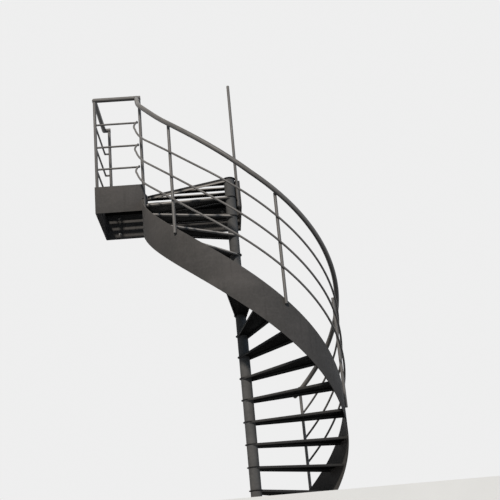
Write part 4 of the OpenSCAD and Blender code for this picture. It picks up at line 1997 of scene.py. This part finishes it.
@dataclass
class Studio:
    """The floor, the soft daylight and the camera at the photograph's angle.

    Attributes:
        lens: the camera's focal length in millimetres.
        place: where the camera stands.
        heading: degrees by which it looks to the right of the y axis.
        rise: degrees by which it looks up.
        roll: degrees by which it is tipped to its side.
        sun: the key light, along the photograph's sun.
        fill: the cool light from the open side.
        sky: strength of the light from all around.
        sky_colour: colour of that light.
        backdrop: brightness of the pale surround that the camera sees.
        slab: left edge, right edge, front edge and back edge of the floor.
        slab_thick: thickness of the floor.
    """

    lens: float = 71.04
    place: tuple[float, float, float] = (-0.3387, -8.1719, -0.9233)
    heading: float = 3.3138
    rise: float = 21.3971
    roll: float = 5.3879
    sun: Lamp = Lamp("key_sun", (0.219, 0.831, -0.511), 2.7, 3.0, (1.0, 0.95, 0.88))
    fill: Lamp = Lamp("cool_fill", (-0.9, 0.4, -0.25), 0.34, 50.0, (0.36, 0.62, 1.0))
    sky: float = 0.24
    sky_colour: Colour = (0.80, 0.90, 1.0)
    backdrop: float = 0.86
    slab: tuple[float, float, float, float] = (-7.0, 7.0, -1.05, 7.0)
    slab_thick: float = 2.5

    def build(self) -> None:
        """Makes the stage."""
        self.floor_slab()
        self.sun.build()
        self.fill.build()
        self.surround()
        self.camera()
        bpy.context.scene.view_settings.view_transform = "Standard"

    def camera(self) -> None:
        """Sets the camera where the photograph was taken."""
        turn, rise, roll = (math.radians(v) for v in (self.heading, self.rise, self.roll))
        ahead = Vector((math.sin(turn) * math.cos(rise), math.cos(turn) * math.cos(rise),
                        math.sin(rise)))
        right = Vector((math.cos(turn), -math.sin(turn), 0))
        up = right.cross(ahead)
        own_right = math.cos(roll) * right - math.sin(roll) * up
        own_up = math.sin(roll) * right + math.cos(roll) * up
        data = bpy.data.cameras.new("photo_camera")
        data.lens = self.lens
        data.sensor_width = 36.0
        data.clip_end = 100.0
        camera = linked("photo_camera", data)
        turned = Matrix((own_right, own_up, -ahead)).transposed().to_4x4()
        camera.matrix_world = Matrix.Translation(self.place) @ turned
        bpy.context.scene.camera = camera

    def surround(self) -> None:
        """Makes the surround, pale where it is seen and dimmer where it lights the stair."""
        world = bpy.data.worlds.new("pale_surround")
        bpy.context.scene.world = world
        world.use_nodes = True
        world.node_tree.nodes.clear()
        graph = NodeGraph(world.node_tree)
        path = graph.add("ShaderNodeLightPath").outputs
        seen = graph.math("MAXIMUM", path["Is Camera Ray"], graph.math(
            "MAXIMUM", path["Is Glossy Ray"], path["Is Transmission Ray"]))
        ambient = graph.add("ShaderNodeBackground", {0: shade(self.sky_colour), 1: self.sky})
        pale = graph.add("ShaderNodeBackground", {0: (1.0, 1.0, 1.0, 1.0), 1: self.backdrop})
        both = graph.add("ShaderNodeMixShader", {0: seen, 1: ambient.outputs[0],
                                                 2: pale.outputs[0]})
        graph.add("ShaderNodeOutputWorld", {0: both.outputs[0]})

    def floor_slab(self) -> None:
        """Makes the pale floor that the stair stands on."""
        left, right, front, back = self.slab
        plan = [(left, front), (right, front), (right, back), (left, back)]
        mesh = skin("pale_floor", [[level(p, z) for p in plan] for z in (-self.slab_thick, 0.0)])
        smooth(mesh, 20.0)
        mesh.materials.append(self.screed())
        linked("pale_floor", mesh)

    def screed(self) -> bpy.types.Material:
        """Pale screed that throws less light back on the stair than the camera sees.

        Returns:
            The floor's material.
        """
        graph = PaintGraph("pale_screed")
        colour = graph.mix(graph.noise(Noise(3.0, 6.0, 0.5)), (0.76, 0.75, 0.73, 1.0),
                           (0.84, 0.83, 0.81, 1.0))
        thrown = graph.read("ShaderNodeLightPath", "Is Diffuse Ray")
        colour = graph.mix(thrown, colour, (0.30, 0.30, 0.30, 1.0))
        shader = graph.add("ShaderNodeBsdfPrincipled", {"Base Color": colour, "Roughness": 0.85})
        graph.add("ShaderNodeOutputMaterial", {0: shader.outputs[0]})
        return graph.material


def main() -> None:
    """Builds the stage and every sub-assembly in order."""
    logging.basicConfig(level=logging.INFO, format="%(name)s %(message)s")
    Studio().build()
    shop = Workshop.open()
    for assembly in (Column, Flight, Railing, Landing, Guard):
        LOG.info("building %s", assembly.__name__)
        assembly(shop).build()


if __name__ == "__main__":
    main()
